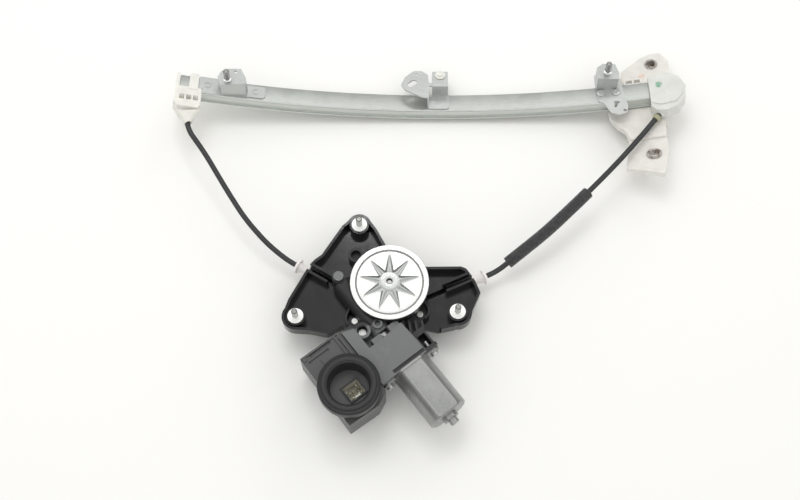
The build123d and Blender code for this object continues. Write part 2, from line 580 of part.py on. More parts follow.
with BuildPart() as drum_housing:
    with BuildSketch(drum_level(FLOOR_Z - FLOOR_T)) as star:
        add(outline(Plane.XY, STAR, 2))
        for name, place in STUDS.items():
            with Locations(place):
                Circle(LEG_R[name])
    extrude(amount=RIM_Z - FLOOR_Z + FLOOR_T)
    with BuildSketch(drum_level(FLOOR_Z)) as trays:
        add(outline(Plane.XY, STAR, 2))
        for name, place in STUDS.items():
            with Locations(place):
                Circle(LEG_R[name])
        offset(amount=-RIM_T, mode=Mode.REPLACE)
        for side in ("lower", "upper"):
            wall_frame = slot_frame(side, 0)
            start = wall_frame.origin + wall_frame.x_dir * 70 - Vector(DRUM_X, DRUM_Y, 0)
            with Locations((start.X, start.Y)):
                Rectangle(44, SLOT_W + 2 * SLOT_WALL, rotation=LEAD_ANGLE[side], mode=Mode.SUBTRACT)
        for name, place in STUDS.items():
            with Locations(place):
                Circle(BOSS_R, mode=Mode.SUBTRACT)
    extrude(amount=RIM_Z - FLOOR_Z + 1, mode=Mode.SUBTRACT)
    # footprint of the gear case and the control box
    extrude(ring(drum_level(FLOOR_Z), CASE_CLEAR_R), amount=20, mode=Mode.SUBTRACT)
    for x0, x1, y0, y1 in ((-42, 30, -10.6, 10.6), (-1, 12, -24, 0), (2, 90, -33.5, 46)):
        extrude(panel(motor_level(FLOOR_Z), x0, x1, y0, y1), amount=20, mode=Mode.SUBTRACT)
    # stud bosses, cable channels and drum pocket
    for name, place in STUDS.items():
        extrude(ring(drum_level(FLOOR_Z - 8), BOSS_R - 1.5, 5.5, place), amount=8)
        extrude(ring(drum_level(FLOOR_Z - 1), BOSS_R, centre=place), amount=PAD_Z - FLOOR_Z + 1)
    for side in ("lower", "upper"):
        channel = panel(slot_frame(side, LEAD_Z[side] - 5.6), 6, 78.4, -SLOT_W / 2 - SLOT_WALL, SLOT_W / 2 + SLOT_WALL)
        extrude(channel, amount=FLOOR_Z - LEAD_Z[side] + 5.6)
    extrude(ring(drum_level(0), POCKET_R + POCKET_WALL), amount=FLOOR_Z)
    for angle in (114, 197, 340):
        with BuildSketch(drum_level(9)):
            with Locations(Location((0, 0), angle)):
                with Locations((48, 0)):
                    Rectangle(46, 2.4)
        extrude(amount=FLOOR_Z - 10)
    extrude(ring(drum_level(3), POCKET_R), amount=30, mode=Mode.SUBTRACT)
    extrude(ring(drum_level(3), 7), amount=1.6)
    for side in ("lower", "upper"):
        groove = panel(slot_frame(side, LEAD_Z[side] - 3.0), 4, 95, -SLOT_W / 2, SLOT_W / 2)
        extrude(groove, amount=30, mode=Mode.SUBTRACT)
    extrude(ring(drum_level(-1), 4.0), amount=8, mode=Mode.SUBTRACT)
    for name, place in STUDS.items():
        extrude(ring(drum_level(FLOOR_Z - 12), 3.6, centre=place), amount=40, mode=Mode.SUBTRACT)
save(drum_housing.part, "drum_housing")

STUD_LENGTH = 12.5
STUD_FLANGE_R = 7.5
STUD_FLANGE_T = 1.5
with BuildPart() as mounting_studs:
    for name, place in STUDS.items():
        extrude(ring(drum_level(FLOOR_Z - FLOOR_T), 3.6, centre=place), amount=PAD_Z - FLOOR_Z + FLOOR_T)
        extrude(ring(drum_level(PAD_Z), STUD_FLANGE_R, centre=place), amount=STUD_FLANGE_T)
        extrude(ring(drum_level(PAD_Z), STUD_D / 2, centre=place), amount=STUD_FLANGE_T + STUD_LENGTH)
    tips = mounting_studs.edges().filter_by(GeomType.CIRCLE).group_by(Axis.Z)[-1]
    chamfer(tips, 0.8)
save(mounting_studs.part, "mounting_studs")


# ---- drum and the parts that turn with it ----
PIN_R = 4.0
RUNNING = 0.05  # radial clearance of running fits
with BuildPart() as cable_drum:
    extrude(ring(drum_level(5.2), 22.6, PIN_R + RUNNING), amount=18)
    for z in (10.6, 13.0, 15.4, 17.8, 20.2):
        with BuildSketch(Plane(origin=(DRUM_X, DRUM_Y, z), x_dir=(1, 0, 0), z_dir=(0, -1, 0))):
            with Locations((DRUM_CABLE_R, 0)):
                Circle(1.15)
        revolve(axis=Axis((DRUM_X, DRUM_Y, 0), (0, 0, 1)), mode=Mode.SUBTRACT)
    extrude(ring(drum_level(9.4), 30, 19.9), amount=12, mode=Mode.SUBTRACT)
    with BuildSketch(drum_level(19.8)):
        Circle(5.6)
        with PolarLocations(0, 3):
            with Locations((6.5, 0)):
                Rectangle(8, 5.4)
    extrude(amount=6, mode=Mode.SUBTRACT)
    with BuildSketch(drum_level(5)):
        with PolarLocations(13.5, 6):
            Circle(3.2)
    extrude(amount=12, mode=Mode.SUBTRACT)
save(cable_drum.part, "cable_drum")

with BuildPart() as drum_wraps:
    for z in (10.6, 13.0):
        with BuildSketch(Plane(origin=(DRUM_X, DRUM_Y, z), x_dir=(1, 0, 0), z_dir=(0, -1, 0))):
            with Locations((DRUM_CABLE_R + 0.4, 0)):
                Circle(CABLE_D / 2)
        revolve(axis=Axis((DRUM_X, DRUM_Y, 0), (0, 0, 1)))
save(drum_wraps.part, "drum_cable_wraps")

with BuildPart() as output_hub:
    extrude(ring(drum_level(23.4), 9.9, PIN_R + RUNNING), amount=6.6)
    extrude(ring(drum_level(20.0), 5.4, PIN_R + RUNNING), amount=23.5)
    with BuildSketch(drum_level(20.0)):
        with PolarLocations(0, 3):
            with Locations((6.8, 0)):
                Rectangle(5, 5)
    extrude(amount=3.6)
    extrude(ring(drum_level(41.8), 20, PIN_R + RUNNING), amount=1.7)
    with BuildSketch(drum_level(33.2)):
        with PolarLocations(0, 3):
            with Locations((15, 0)):
                Rectangle(8, 4)
    extrude(amount=8.8)
    extrude(ring(drum_level(19), PIN_R + RUNNING), amount=30, mode=Mode.SUBTRACT)
save(output_hub.part, "output_hub")

WHEEL_TEETH = 56
MODULE = 1.0
WHEEL_PITCH_R = WHEEL_TEETH * MODULE / 2
WORM_PITCH_R = CENTRE_DISTANCE - WHEEL_PITCH_R
LEAD_TAN = MODULE / (2 * WORM_PITCH_R)
WHEEL_Z = (30.5, 41.5)


def tooth_ring(z, turn):
    """Points round the wheel: root, flank and tip of each tooth, turned by some degrees."""
    points = []
    for i in range(WHEEL_TEETH):
        middle = 360 / WHEEL_TEETH * i + turn
        for r, half in ((26.7, 0.94), (28.9, 0.44)):
            side_angle = degrees(half / r)
            points.append((r, middle - side_angle))
        for r, half in ((28.9, 0.44), (26.7, 0.94)):
            side_angle = degrees(half / r)
            points.append((r, middle + side_angle))
    return [(r * cos(radians(a)), r * sin(radians(a))) for r, a in points]


WHEEL_TURN = MOTOR_ANGLE - 90  # a tooth gap faces the worm
with BuildPart() as worm_wheel:
    half_face = (WHEEL_Z[1] - WHEEL_Z[0]) / 2
    twist = degrees(half_face * LEAD_TAN / WHEEL_PITCH_R)
    for z, turn in ((WHEEL_Z[0], -twist), (WHEEL_Z[1], twist)):
        with BuildSketch(drum_level(z)):
            with BuildLine():
                Polyline(*tooth_ring(z, WHEEL_TURN + 180 / WHEEL_TEETH + turn), close=True)
            make_face()
    loft(ruled=True)
    extrude(ring(drum_level(32.7), 23.5, 7.5), amount=12, mode=Mode.SUBTRACT)
    extrude(ring(drum_level(30), 5.5), amount=14, mode=Mode.SUBTRACT)
    extrude(ring(drum_level(38.5), 9), amount=14, mode=Mode.SUBTRACT)
save(worm_wheel.part, "worm_wheel")

with BuildPart() as wheel_damper:
    extrude(ring(drum_level(32.8), 23.4, 9.2), amount=8.8)
    with BuildSketch(drum_level(32)):
        with PolarLocations(0, 3):
            with Locations((15, 0)):
                Rectangle(8.4, 4.4)
    extrude(amount=12, mode=Mode.SUBTRACT)
save(wheel_damper.part, "wheel_damper")

with BuildPart() as wheel_pin:
    extrude(ring(drum_level(0.6), PIN_R), amount=49)
    extrude(ring(drum_level(40), 2.2), amount=12.4)
save(wheel_pin.part, "wheel_pin")


# ---- gear case: wheel chamber, worm tunnel and brush chamber in one moulding ----
SCREW_A = (5.0, -12.6)
SCREW_B = (37.3, 39.6)
SCREW_D = (-35.2, -0.5)
SCREW_E = (20.1, -14.8)
CAN_SCREW_W = 25.85
FLANGE_S = 73.0
CHAMBER_R = 35.0
LOOP = (-46.8, 28.4)
SEAL_AT = (57.0, -57.5)
with BuildPart() as gear_case:
    extrude(ring(drum_level(FLOOR_Z), CHAMBER_R), amount=CASE_TOP - FLOOR_Z)
    extrude(ring(motor_station(-31), 9.4), amount=62)
    extrude(panel(motor_level(FLOOR_Z), -31, 31, -9.4, 9.4), amount=ARMATURE_Z - FLOOR_Z)
    main_shape = [(10, -32), (FLANGE_S, -32), (FLANGE_S, 19.6), (36.5, 17), (38.5, -4), (38.5, -20.5), (10, -20.5)]
    extrude(outline(motor_level(FLOOR_Z), main_shape, 0.8), amount=PLATE_TOP - FLOOR_Z)
    extrude(panel(motor_level(FLOOR_Z), 8, 40, -22, 18), amount=10)
    extrude(outline(motor_level(FLOOR_Z), [(30, 10), (73, 10), (73, 31), (52, 31), (46, 35.5), (30, 35.5)], 1), amount=9)
    extrude(panel(motor_level(FLOOR_Z), 50, FLANGE_S, 18, 31, 1), amount=19)
    end_frame = motor_station(FLANGE_S - 3)
    extrude(panel(end_frame, -31.5, 31.5, -11.5, 14, 3), amount=3)
    # lugs, bosses and guide walls
    extrude(ring(motor_level(FLOOR_Z), 6.2, centre=SCREW_D), amount=21.5)
    extrude(ring(motor_level(FLOOR_Z), 7.8, centre=SCREW_E), amount=22)
    extrude(ring(motor_level(FLOOR_Z), 4.6, centre=(24.2, -0.2)), amount=25)
    extrude(ring(motor_level(FLOOR_Z), 5.2, centre=SCREW_A), amount=6)
    extrude(ring(motor_level(FLOOR_Z), 5.2, centre=SCREW_B), amount=6)
    extrude(ring(motor_level(FLOOR_Z), 7.2, centre=LOOP), amount=9)
    extrude(outline(motor_level(FLOOR_Z), [(-46, 22), (-30, 18), (-20, 26), (-30, 40), (-46, 34)]), amount=3)
    extrude(outline(motor_level(FLOOR_Z), [(-10, -5), (-2.6, -16.4), (4.4, -19.6), (3.6, -21), (-3.6, -17.6),
                                           (-11.2, -5.6)]), amount=9.5)
    extrude(outline(motor_level(FLOOR_Z), [(30.5, 50.5), (37.8, 48.8), (41.7, 45.2), (42.7, 40.3), (44, 40.6),
                                           (43, 46), (38.6, 50), (30.8, 52)]), amount=9.5)
    extrude(outline(motor_level(FLOOR_Z), [(24, 40), (38, 34), (44, 41), (41.5, 46), (37.5, 49.5), (30, 51)]),
            amount=3)
    for x, y in ((35.6, -9.2), (34.2, 10.4)):
        extrude(panel(motor_level(FLOOR_Z), x - 2.7, x + 3.4, y - 5.4, y + 5.4), amount=23.5)
    for i in range(4):
        rib_at = (40.5 + 3.2 * i, 17.6 + 5.0 * i)
        with BuildSketch(motor_level(FLOOR_Z)):
            with Locations(Location(rib_at, -29)):
                Rectangle(12.5, 2.2)
        extrude(amount=20 - 1.5 * i)
    # hollows
    extrude(ring(motor_level(BOX_TOP), 29.2, centre=SEAL_AT), amount=10, mode=Mode.SUBTRACT)
    extrude(ring(drum_level(27.4), 31.2), amount=30, mode=Mode.SUBTRACT)
    extrude(ring(drum_level(44.6), 37.4, CHAMBER_R), amount=12, mode=Mode.SUBTRACT)
    extrude(ring(motor_station(-23), 6.3), amount=43, mode=Mode.SUBTRACT)
    extrude(ring(motor_station(-30), 5.0), amount=8, mode=Mode.SUBTRACT)
    extrude(ring(motor_station(15), 5.0), amount=30, mode=Mode.SUBTRACT)
    extrude(panel(motor_level(27), 41, FLANGE_S + 1, -17.2, 17.2), amount=18.6, mode=Mode.SUBTRACT)
    extrude(panel(motor_level(PLATE_TOP - 1.2), 68.2, 71.8, -16.5, 18.3), amount=3, mode=Mode.SUBTRACT)
    extrude(panel(motor_level(FLOOR_Z + 5), 56, 69.5, 21, 29), amount=20, mode=Mode.SUBTRACT)
    extrude(ring(drum_level(20), 10.0), amount=12, mode=Mode.SUBTRACT)
    extrude(ring(motor_level(FLOOR_Z + 11.5), 5.0, centre=SCREW_E), amount=20, mode=Mode.SUBTRACT)
    extrude(ring(motor_level(46), 2.8, centre=(24.2, -0.2)), amount=10, mode=Mode.SUBTRACT)
    extrude(ring(motor_level(FLOOR_Z + 3), 4.9, centre=LOOP), amount=20, mode=Mode.SUBTRACT)
    for place in (SCREW_A, SCREW_B, SCREW_D, SCREW_E):
        extrude(ring(motor_level(20), 1.6, centre=place), amount=40, mode=Mode.SUBTRACT)
    for w in (-CAN_SCREW_W, CAN_SCREW_W):
        extrude(ring(motor_station(60), 2.0, centre=(w, 0)), amount=20, mode=Mode.SUBTRACT)
save(gear_case.part, "gear_case")

with BuildPart() as case_screws:
    for place, seat_z, head_r, head_h in ((SCREW_A, 30.5, 2.9, 2.4), (SCREW_B, 30.5, 2.9, 2.4),
                                          (SCREW_D, 46.0, 4.8, 3.2), (SCREW_E, 36.0, 3.6, 3.0)):
        extrude(ring(motor_level(seat_z), head_r, centre=place), amount=head_h)
        extrude(ring(motor_level(seat_z), 1.6, centre=place), amount=FLOOR_Z - seat_z)
save(case_screws.part, "case_screws")

with BuildPart() as cover_seal:
    with BuildSketch(Plane(origin=(DRUM_X, DRUM_Y, CASE_TOP + 0.7), x_dir=(1, 0, 0), z_dir=(0, -1, 0))):
        with Locations((33.1, 0)):
            Circle(0.7)
    revolve(axis=Axis((DRUM_X, DRUM_Y, 0), (0, 0, 1)))
save(cover_seal.part, "cover_seal")


# ---- pressed steel gear cover with nine embossed rays ----
COVER_R = 36.75
COVER_T = 1.2
COVER_TOP = CASE_TOP + 1.4 + COVER_T
RAYS = 9
cover_section = Plane(origin=(DRUM_X, DRUM_Y, COVER_TOP), x_dir=(1, 0, 0), z_dir=(0, -1, 0))
with BuildPart() as gear_cover:
    with BuildSketch(cover_section) as profile:
        with BuildLine():
            Polyline(
                (2.7, 1.8), (9.0, 1.8), (12.6, -0.2), (30.2, -0.2), (30.8, -0.8), (31.6, -0.8), (32.2, 0),
                (COVER_R - 1.4, 0), (COVER_R, -1.4), (COVER_R, -8.2), (COVER_R - COVER_T, -8.2),
                (COVER_R - COVER_T, -2.4), (COVER_R - 2.0, -COVER_T), (32.6, -COVER_T), (31.9, -2.0),
                (30.5, -2.0), (29.8, -1.4), (12.0, -1.4), (8.5, 0.6), (2.7, 0.6),
                close=True,
            )
        make_face()
    revolve(axis=Axis((DRUM_X, DRUM_Y, 0), (0, 0, 1)))
    for i in range(RAYS):
        direction = radians(90 + 360 / RAYS * i)
        out = Vector(cos(direction), sin(direction), 0)
        side_dir = Vector(-sin(direction), cos(direction), 0)
        centre = Vector(DRUM_X, DRUM_Y, COVER_TOP - 0.5)
        with BuildSketch(Plane(origin=centre + out * 9.2, x_dir=side_dir, z_dir=out)):
            with BuildLine():
                Polyline((-3.2, 0), (-0.9, 2.2), (0.9, 2.2), (3.2, 0), close=True)
            make_face()
        with BuildSketch(Plane(origin=centre + out * 26.5, x_dir=side_dir, z_dir=out)):
            with BuildLine():
                Polyline((-0.7, 0), (-0.3, 0.5), (0.3, 0.5), (0.7, 0), close=True)
            make_face()
        loft(ruled=True)
save(gear_cover.part, "gear_cover")


# ---- motor: can, magnets, armature, bearings and brush gear ----
CAN_R = 19.4
CAN_FLAT = 17.0
CAN_T = 1.6
CAN_START = FLANGE_S + 2.2
CAN_END = 129.5
SHAFT_R = 2.4
with BuildPart() as motor_can:
    with BuildSketch(motor_station(FLANGE_S)):
        RectangleRounded(63, 17, 6)
        Circle(CAN_R + 1.2)
        Rectangle(80, 2 * CAN_FLAT + 2, mode=Mode.INTERSECT)
    extrude(amount=CAN_START - FLANGE_S)
    with BuildSketch(motor_station(CAN_START)):
        Circle(CAN_R)
        Rectangle(60, 2 * CAN_FLAT, mode=Mode.INTERSECT)
    extrude(amount=CAN_END - CAN_START)
    end_face = motor_can.faces().sort_by(Axis(WORM_FOOT, S_DIR))[-1]
    fillet(end_face.edges(), 2.6)
    extrude(ring(motor_station(CAN_END - 1), 7.6), amount=5)
    extrude(ring(motor_station(CAN_END), 4.4), amount=9.2)
    with BuildSketch(motor_station(FLANGE_S - 1)):
        Circle(CAN_R - CAN_T)
        Rectangle(60, 2 * (CAN_FLAT - CAN_T), mode=Mode.INTERSECT)
    extrude(amount=CAN_END - CAN_T - FLANGE_S + 1, mode=Mode.SUBTRACT)
    extrude(ring(motor_station(120), 4.6 + 1.2), amount=12.2, mode=Mode.SUBTRACT)
    for w in (-CAN_SCREW_W, CAN_SCREW_W):
        extrude(ring(motor_station(60), 2.0, centre=(w, 0)), amount=20, mode=Mode.SUBTRACT)
save(motor_can.part, "motor_can")

with BuildPart() as can_screws:
    for w in (-CAN_SCREW_W, CAN_SCREW_W):
        extrude(ring(motor_station(CAN_START), 3.5, centre=(w, 0)), amount=2.8)
        extrude(ring(motor_station(62), 2.0, centre=(w, 0)), amount=CAN_START - 62)
save(can_screws.part, "can_screws")

with BuildPart() as magnets:
    with BuildSketch(motor_station(84)):
        Circle(17.7)
        Circle(14.2, mode=Mode.SUBTRACT)
        Rectangle(60, 24, mode=Mode.INTERSECT)
    extrude(amount=36)
save(magnets.part, "field_magnets")

CORE_R = 13.4
SLOTS = 8
with BuildPart() as armature_core:
    with BuildSketch(motor_station(85)):
        Circle(CORE_R)
        with PolarLocations(CORE_R - 1.5, SLOTS):
            Rectangle(5, 1.6, mode=Mode.SUBTRACT)
        with PolarLocations(CORE_R - 4.6, SLOTS):
            Circle(2.2, mode=Mode.SUBTRACT)
        Circle(SHAFT_R, mode=Mode.SUBTRACT)
    extrude(amount=34)
save(armature_core.part, "armature_core")

with BuildPart() as windings:
    extrude(ring(motor_station(77), 11.4, SHAFT_R + 1.2), amount=8)
    extrude(ring(motor_station(119), 11.4, SHAFT_R + 1.2), amount=6.5)
    end_edges = windings.edges().filter_by(GeomType.CIRCLE).sort_by(SortBy.RADIUS)[-4:]
    fillet(end_edges, 2)
save(windings.part, "armature_windings")

with BuildPart() as commutator:
    with BuildSketch(motor_station(58)):
        Circle(6.6)
        with PolarLocations(6.6, SLOTS):
            Rectangle(1.6, 0.5, mode=Mode.SUBTRACT)
        Circle(SHAFT_R, mode=Mode.SUBTRACT)
    extrude(amount=16)
    extrude(ring(motor_station(74), 8, SHAFT_R), amount=1.6)
save(commutator.part, "commutator")

WORM_ROOT_R = 3.4
WORM_TIP_R = 5.5
WORM_HALF = 13.0
with BuildPart() as armature_shaft:
    extrude(ring(motor_station(-29.5), SHAFT_R), amount=161)
    extrude(ring(motor_station(-WORM_HALF - 3), WORM_ROOT_R), amount=2 * WORM_HALF + 6)
save(armature_shaft.part, "armature_shaft")

with BuildPart() as front_bushes:
    extrude(ring(motor_station(-30), 5.0, SHAFT_R + RUNNING), amount=6)
    extrude(ring(motor_station(32), 5.0, SHAFT_R + RUNNING), amount=8)
save(front_bushes.part, "shaft_bushes")

with BuildPart() as rear_bearing:
    extrude(ring(motor_station(127.9), 5.8, SHAFT_R + RUNNING), amount=4.2)
save(rear_bearing.part, "rear_bearing")

with BuildPart() as brush_holder:
    extrude(panel(motor_station(60), -16.8, 16.8, -8.6, 9.2, 2), amount=3)
    extrude(ring(motor_station(59), 7.6), amount=8, mode=Mode.SUBTRACT)
    for w in (-12.4, 12.4):
        extrude(panel(motor_station(63), w - 4.2, w + 4.2, -4, 4), amount=7)
        extrude(panel(motor_station(62), w - 6.5, w + 6.5, -2.6, 2.6), amount=6.5, mode=Mode.SUBTRACT)
save(brush_holder.part, "brush_holder")

with BuildPart() as brushes:
    for w in (-11.3, 11.3):
        extrude(panel(motor_station(63.2), w - 4.2, w + 4.2, -2.4, 2.4), amount=5)
save(brushes.part, "carbon_brushes")


# ---- control box with its connector, pins, circuit board and rubber seal ----
PLUG = (52.0, 69.4, -64.6, -45.9)
BOX = [(7, -76.5), (84, -78), (85.4, -46), (80, -34), (78, -32.4), (8, -32.4)]
with BuildPart() as control_box:
    extrude(outline(motor_level(13), BOX, 1.2), amount=BOX_TOP - 13)
    inner_box = [(9, -74.5), (82, -76), (83.3, -46.4), (78.8, -36), (77, -34.4), (10, -34.4)]
    extrude(outline(motor_level(15), inner_box, 1), amount=BOX_TOP - 17.2, mode=Mode.SUBTRACT)
    extrude(panel(motor_level(BOX_TOP - 1.4), 9.6, 12.4, -68, -44.8), amount=4, mode=Mode.SUBTRACT)
    extrude(panel(motor_level(BOX_TOP - 1.4), 14.5, 17, -72, -50), amount=4, mode=Mode.SUBTRACT)
    extrude(outline(motor_level(BOX_TOP), [(18.5, -62), (20.5, -42.5), (30, -42.5), (30, -62)], 1), amount=1.2)
    extrude(panel(motor_level(BOX_TOP), 9, 40, -36.6, -34.9), amount=2.2)
    extrude(panel(motor_level(BOX_TOP), 9, 36, -40.2, -38.6), amount=1.4)
    extrude(panel(motor_level(BOX_TOP), 7.8, 9.4, -76, -35), amount=1.2)
    x0, x1, y0, y1 = PLUG
    extrude(panel(motor_level(BOX_TOP - 4), x0, x1, y0, y1), amount=8, mode=Mode.SUBTRACT)
    for x, y in ((10.5, -73.2), (12, -37)):
        extrude(ring(motor_level(BOX_TOP), 2.2, centre=(x, y)), amount=0.8)
save(control_box.part, "control_box")

with BuildPart() as connector_shell:
    x0, x1, y0, y1 = PLUG
    extrude(panel(motor_level(24), x0, x1, y0, y1), amount=BOX_TOP + 2 - 24)
    extrude(panel(motor_level(27), x0 + 1.6, x1 - 1.6, y0 + 1.6, y1 - 1.6), amount=30, mode=Mode.SUBTRACT)
    extrude(panel(motor_level(25), x1 - 4, x1 - 1.7, -58, -52), amount=BOX_TOP - 27)
    for x, y in ((55.6, -61), (55.6, -49.5)):
        extrude(panel(motor_level(26), x - 1.2, x + 1.2, y - 0.8, y + 0.8), amount=12)
save(connector_shell.part, "connector_shell")

with BuildPart() as terminal_pins:
    for row, x in enumerate((58.4, 63.6)):
        for i in range(5):
            y = -62 + 3.3 * i
            extrude(panel(motor_level(27), x - 0.5, x + 0.5, y - 0.5, y + 0.5), amount=11)
save(terminal_pins.part, "terminal_pins")

with BuildPart() as circuit_board:
    board = [(11, -72), (80, -74), (81, -48), (76, -37), (12, -37)]
    extrude(outline(motor_level(20), board, 1), amount=1.6)
    extrude(panel(motor_level(21.6), 20, 34, -62, -48), amount=3)
    extrude(ring(motor_level(21.6), 4, centre=(42, -66)), amount=9)
    extrude(panel(motor_level(21.6), 60, 76, -43.5, -38.5), amount=6)
save(circuit_board.part, "circuit_board")

with BuildPart() as connector_seal:
    section = Plane(origin=motor_level(BOX_TOP).from_local_coords((SEAL_AT[0], SEAL_AT[1], 0)),
                    x_dir=S_DIR, z_dir=-W_DIR)
    with BuildSketch(section) as lip:
        with BuildLine():
            Polyline(
                (17.6, 0.05), (25.8, 0.05), (26.4, 3), (28.6, 6.5), (28.8, 15.5), (27.6, 18), (24, 19.2),
                (20.6, 18.4), (18.6, 16.2), (18.2, 12), (17.4, 6),
                close=True,
            )
        make_face()
    axis_at = motor_level(BOX_TOP).from_local_coords((SEAL_AT[0], SEAL_AT[1], 0))
    revolve(axis=Axis(axis_at, (0, 0, 1)))
save(connector_seal.part, "connector_seal")
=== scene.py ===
import json
import math

import bmesh
import bpy
from mathutils import Matrix, Vector


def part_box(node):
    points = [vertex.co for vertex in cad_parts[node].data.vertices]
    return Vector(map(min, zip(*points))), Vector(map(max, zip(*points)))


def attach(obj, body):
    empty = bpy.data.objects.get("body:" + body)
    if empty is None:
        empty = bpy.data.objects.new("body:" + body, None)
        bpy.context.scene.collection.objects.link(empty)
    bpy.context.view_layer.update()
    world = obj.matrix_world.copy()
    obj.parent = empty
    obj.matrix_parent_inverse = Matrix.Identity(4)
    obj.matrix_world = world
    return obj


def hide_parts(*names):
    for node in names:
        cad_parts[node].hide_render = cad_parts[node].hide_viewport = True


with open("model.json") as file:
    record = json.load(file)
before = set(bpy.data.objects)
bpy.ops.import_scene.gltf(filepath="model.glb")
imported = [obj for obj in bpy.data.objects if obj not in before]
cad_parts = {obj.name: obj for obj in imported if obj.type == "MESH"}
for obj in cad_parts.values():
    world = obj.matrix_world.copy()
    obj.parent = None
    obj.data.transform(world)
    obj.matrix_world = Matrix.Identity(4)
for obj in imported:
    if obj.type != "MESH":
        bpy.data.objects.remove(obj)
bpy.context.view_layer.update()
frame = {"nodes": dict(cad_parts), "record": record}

# ---- Camera ----
# A long lens held high over the motor side, looking down at the middle of the regulator.
# Everything is framed whole, with the guide rail level across the top.
LENS = 52.9
CAMERA_HEIGHT_ANGLE = math.radians(68.5)
CAMERA_DISTANCE = 1.160
LOOKED_AT = Vector((-0.0315, -0.0155, 0))
camera_data = bpy.data.cameras.new("camera")
camera_data.lens = LENS
camera_data.sensor_width = 36
camera = bpy.data.objects.new("camera", camera_data)
camera.location = LOOKED_AT + CAMERA_DISTANCE * Vector(
    (0, -math.cos(CAMERA_HEIGHT_ANGLE), math.sin(CAMERA_HEIGHT_ANGLE))
)
camera.rotation_euler = (math.pi / 2 - CAMERA_HEIGHT_ANGLE, 0, 0)
bpy.context.scene.collection.objects.link(camera)
bpy.context.scene.camera = camera
bpy.context.scene.view_settings.view_transform = "Standard"

# ---- Floor and studio light ----
# A pale paper floor under two softboxes and a small lamp, in a white room. Glossy pieces
# mirror another room, dark at the horizon with a bright ring above it, so that their shape
# shows. The paper keeps soft shadows.
ROOM_LIGHT = 0.87
ROOM_COLOUR = (1, 1, 0.985, 1)
BACKGROUND_COLOUR = (0.98, 0.98, 0.965, 1)
# Brightness of the mirrored room by the height of the line of sight, from level to straight up
WALL_TO_CEILING = (
    (0.0, 0.07), (0.4, 0.1), (0.58, 0.3), (0.66, 0.85), (0.74, 0.85), (0.84, 0.38), (1.0, 0.36),
)
MIRRORED_ROOM = 2.5
FLOOR_COLOUR = (0.93, 0.925, 0.905, 1)
FLOOR_DROP = 0.0003
world = bpy.data.worlds.new("studio")
bpy.context.scene.world = world
world.use_nodes = True
world_nodes = world.node_tree.nodes
world_nodes["Background"].inputs["Color"].default_value = ROOM_COLOUR
world_nodes["Background"].inputs["Strength"].default_value = ROOM_LIGHT
room_links = world.node_tree.links
room_white = world_nodes.new("ShaderNodeBackground")
room_white.inputs["Color"].default_value = BACKGROUND_COLOUR
room_white.inputs["Strength"].default_value = 1
direction = world_nodes.new("ShaderNodeTexCoord")
split = world_nodes.new("ShaderNodeSeparateXYZ")
room_links.new(direction.outputs["Generated"], split.inputs[0])
ceiling = world_nodes.new("ShaderNodeValToRGB")
stops = ceiling.color_ramp.elements
for stop, (height, level) in zip((stops[0], stops[1]), (WALL_TO_CEILING[0], WALL_TO_CEILING[-1])):
    stop.position = height
    stop.color = (level, level, 0.99 * level, 1)
for height, level in WALL_TO_CEILING[1:-1]:
    stops.new(height).color = (level, level, 0.99 * level, 1)
room_links.new(split.outputs["Z"], ceiling.inputs["Fac"])
room_mirrored = world_nodes.new("ShaderNodeBackground")
room_mirrored.inputs["Strength"].default_value = MIRRORED_ROOM
room_links.new(ceiling.outputs["Color"], room_mirrored.inputs["Color"])
ray = world_nodes.new("ShaderNodeLightPath")
seen = world_nodes.new("ShaderNodeMath")
seen.operation = "MAXIMUM"
room_links.new(ray.outputs["Is Camera Ray"], seen.inputs[0])
room_links.new(ray.outputs["Is Transmission Ray"], seen.inputs[1])
mirror_mix = world_nodes.new("ShaderNodeMixShader")
room_links.new(ray.outputs["Is Glossy Ray"], mirror_mix.inputs["Fac"])
room_links.new(world_nodes["Background"].outputs[0], mirror_mix.inputs[1])
room_links.new(room_mirrored.outputs[0], mirror_mix.inputs[2])
room_mix = world_nodes.new("ShaderNodeMixShader")
room_links.new(seen.outputs[0], room_mix.inputs["Fac"])
room_links.new(mirror_mix.outputs[0], room_mix.inputs[1])
room_links.new(room_white.outputs[0], room_mix.inputs[2])
room_links.new(room_mix.outputs[0], world_nodes["World Output"].inputs["Surface"])


def softbox(name, place, aim, size, power, mirrored=False):
    lamp = bpy.data.lights.new(name, "AREA")
    lamp.shape = "RECTANGLE"
    lamp.size, lamp.size_y = size
    lamp.energy = power
    holder = bpy.data.objects.new(name, lamp)
    holder.location = place
    holder.rotation_euler = (Vector(aim) - Vector(place)).to_track_quat("-Z", "Y").to_euler()
    holder.visible_glossy = mirrored
    bpy.context.scene.collection.objects.link(holder)


softbox("overhead_softbox", (-0.3, 0.5, 1.5), (0, 0, 0), (0.9, 0.7), 5.2)
softbox("rear_softbox", (0.7, 1.1, 0.9), (0.1, 0.05, 0), (0.9, 0.5), 1.5)
softbox("small_lamp", (-0.05, 0.75, 1.7), (0, 0, 0), (0.3, 0.05), 0.9, mirrored=True)

floor_mesh = bpy.data.meshes.new("floor")
floor_form = bmesh.new()
bmesh.ops.create_grid(floor_form, x_segments=1, y_segments=1, size=3)
bmesh.ops.translate(floor_form, verts=floor_form.verts, vec=(0, 0, -FLOOR_DROP))
floor_form.to_mesh(floor_mesh)
floor_form.free()
floor = bpy.data.objects.new("floor", floor_mesh)
bpy.context.scene.collection.objects.link(floor)
paper = bpy.data.materials.new("paper")
paper.use_nodes = True
paper_shader = paper.node_tree.nodes["Principled BSDF"]
paper_shader.inputs["Base Color"].default_value = FLOOR_COLOUR
paper_shader.inputs["Roughness"].default_value = 0.9
paper_shader.inputs["Specular IOR Level"].default_value = 0.1
floor_mesh.materials.append(paper)

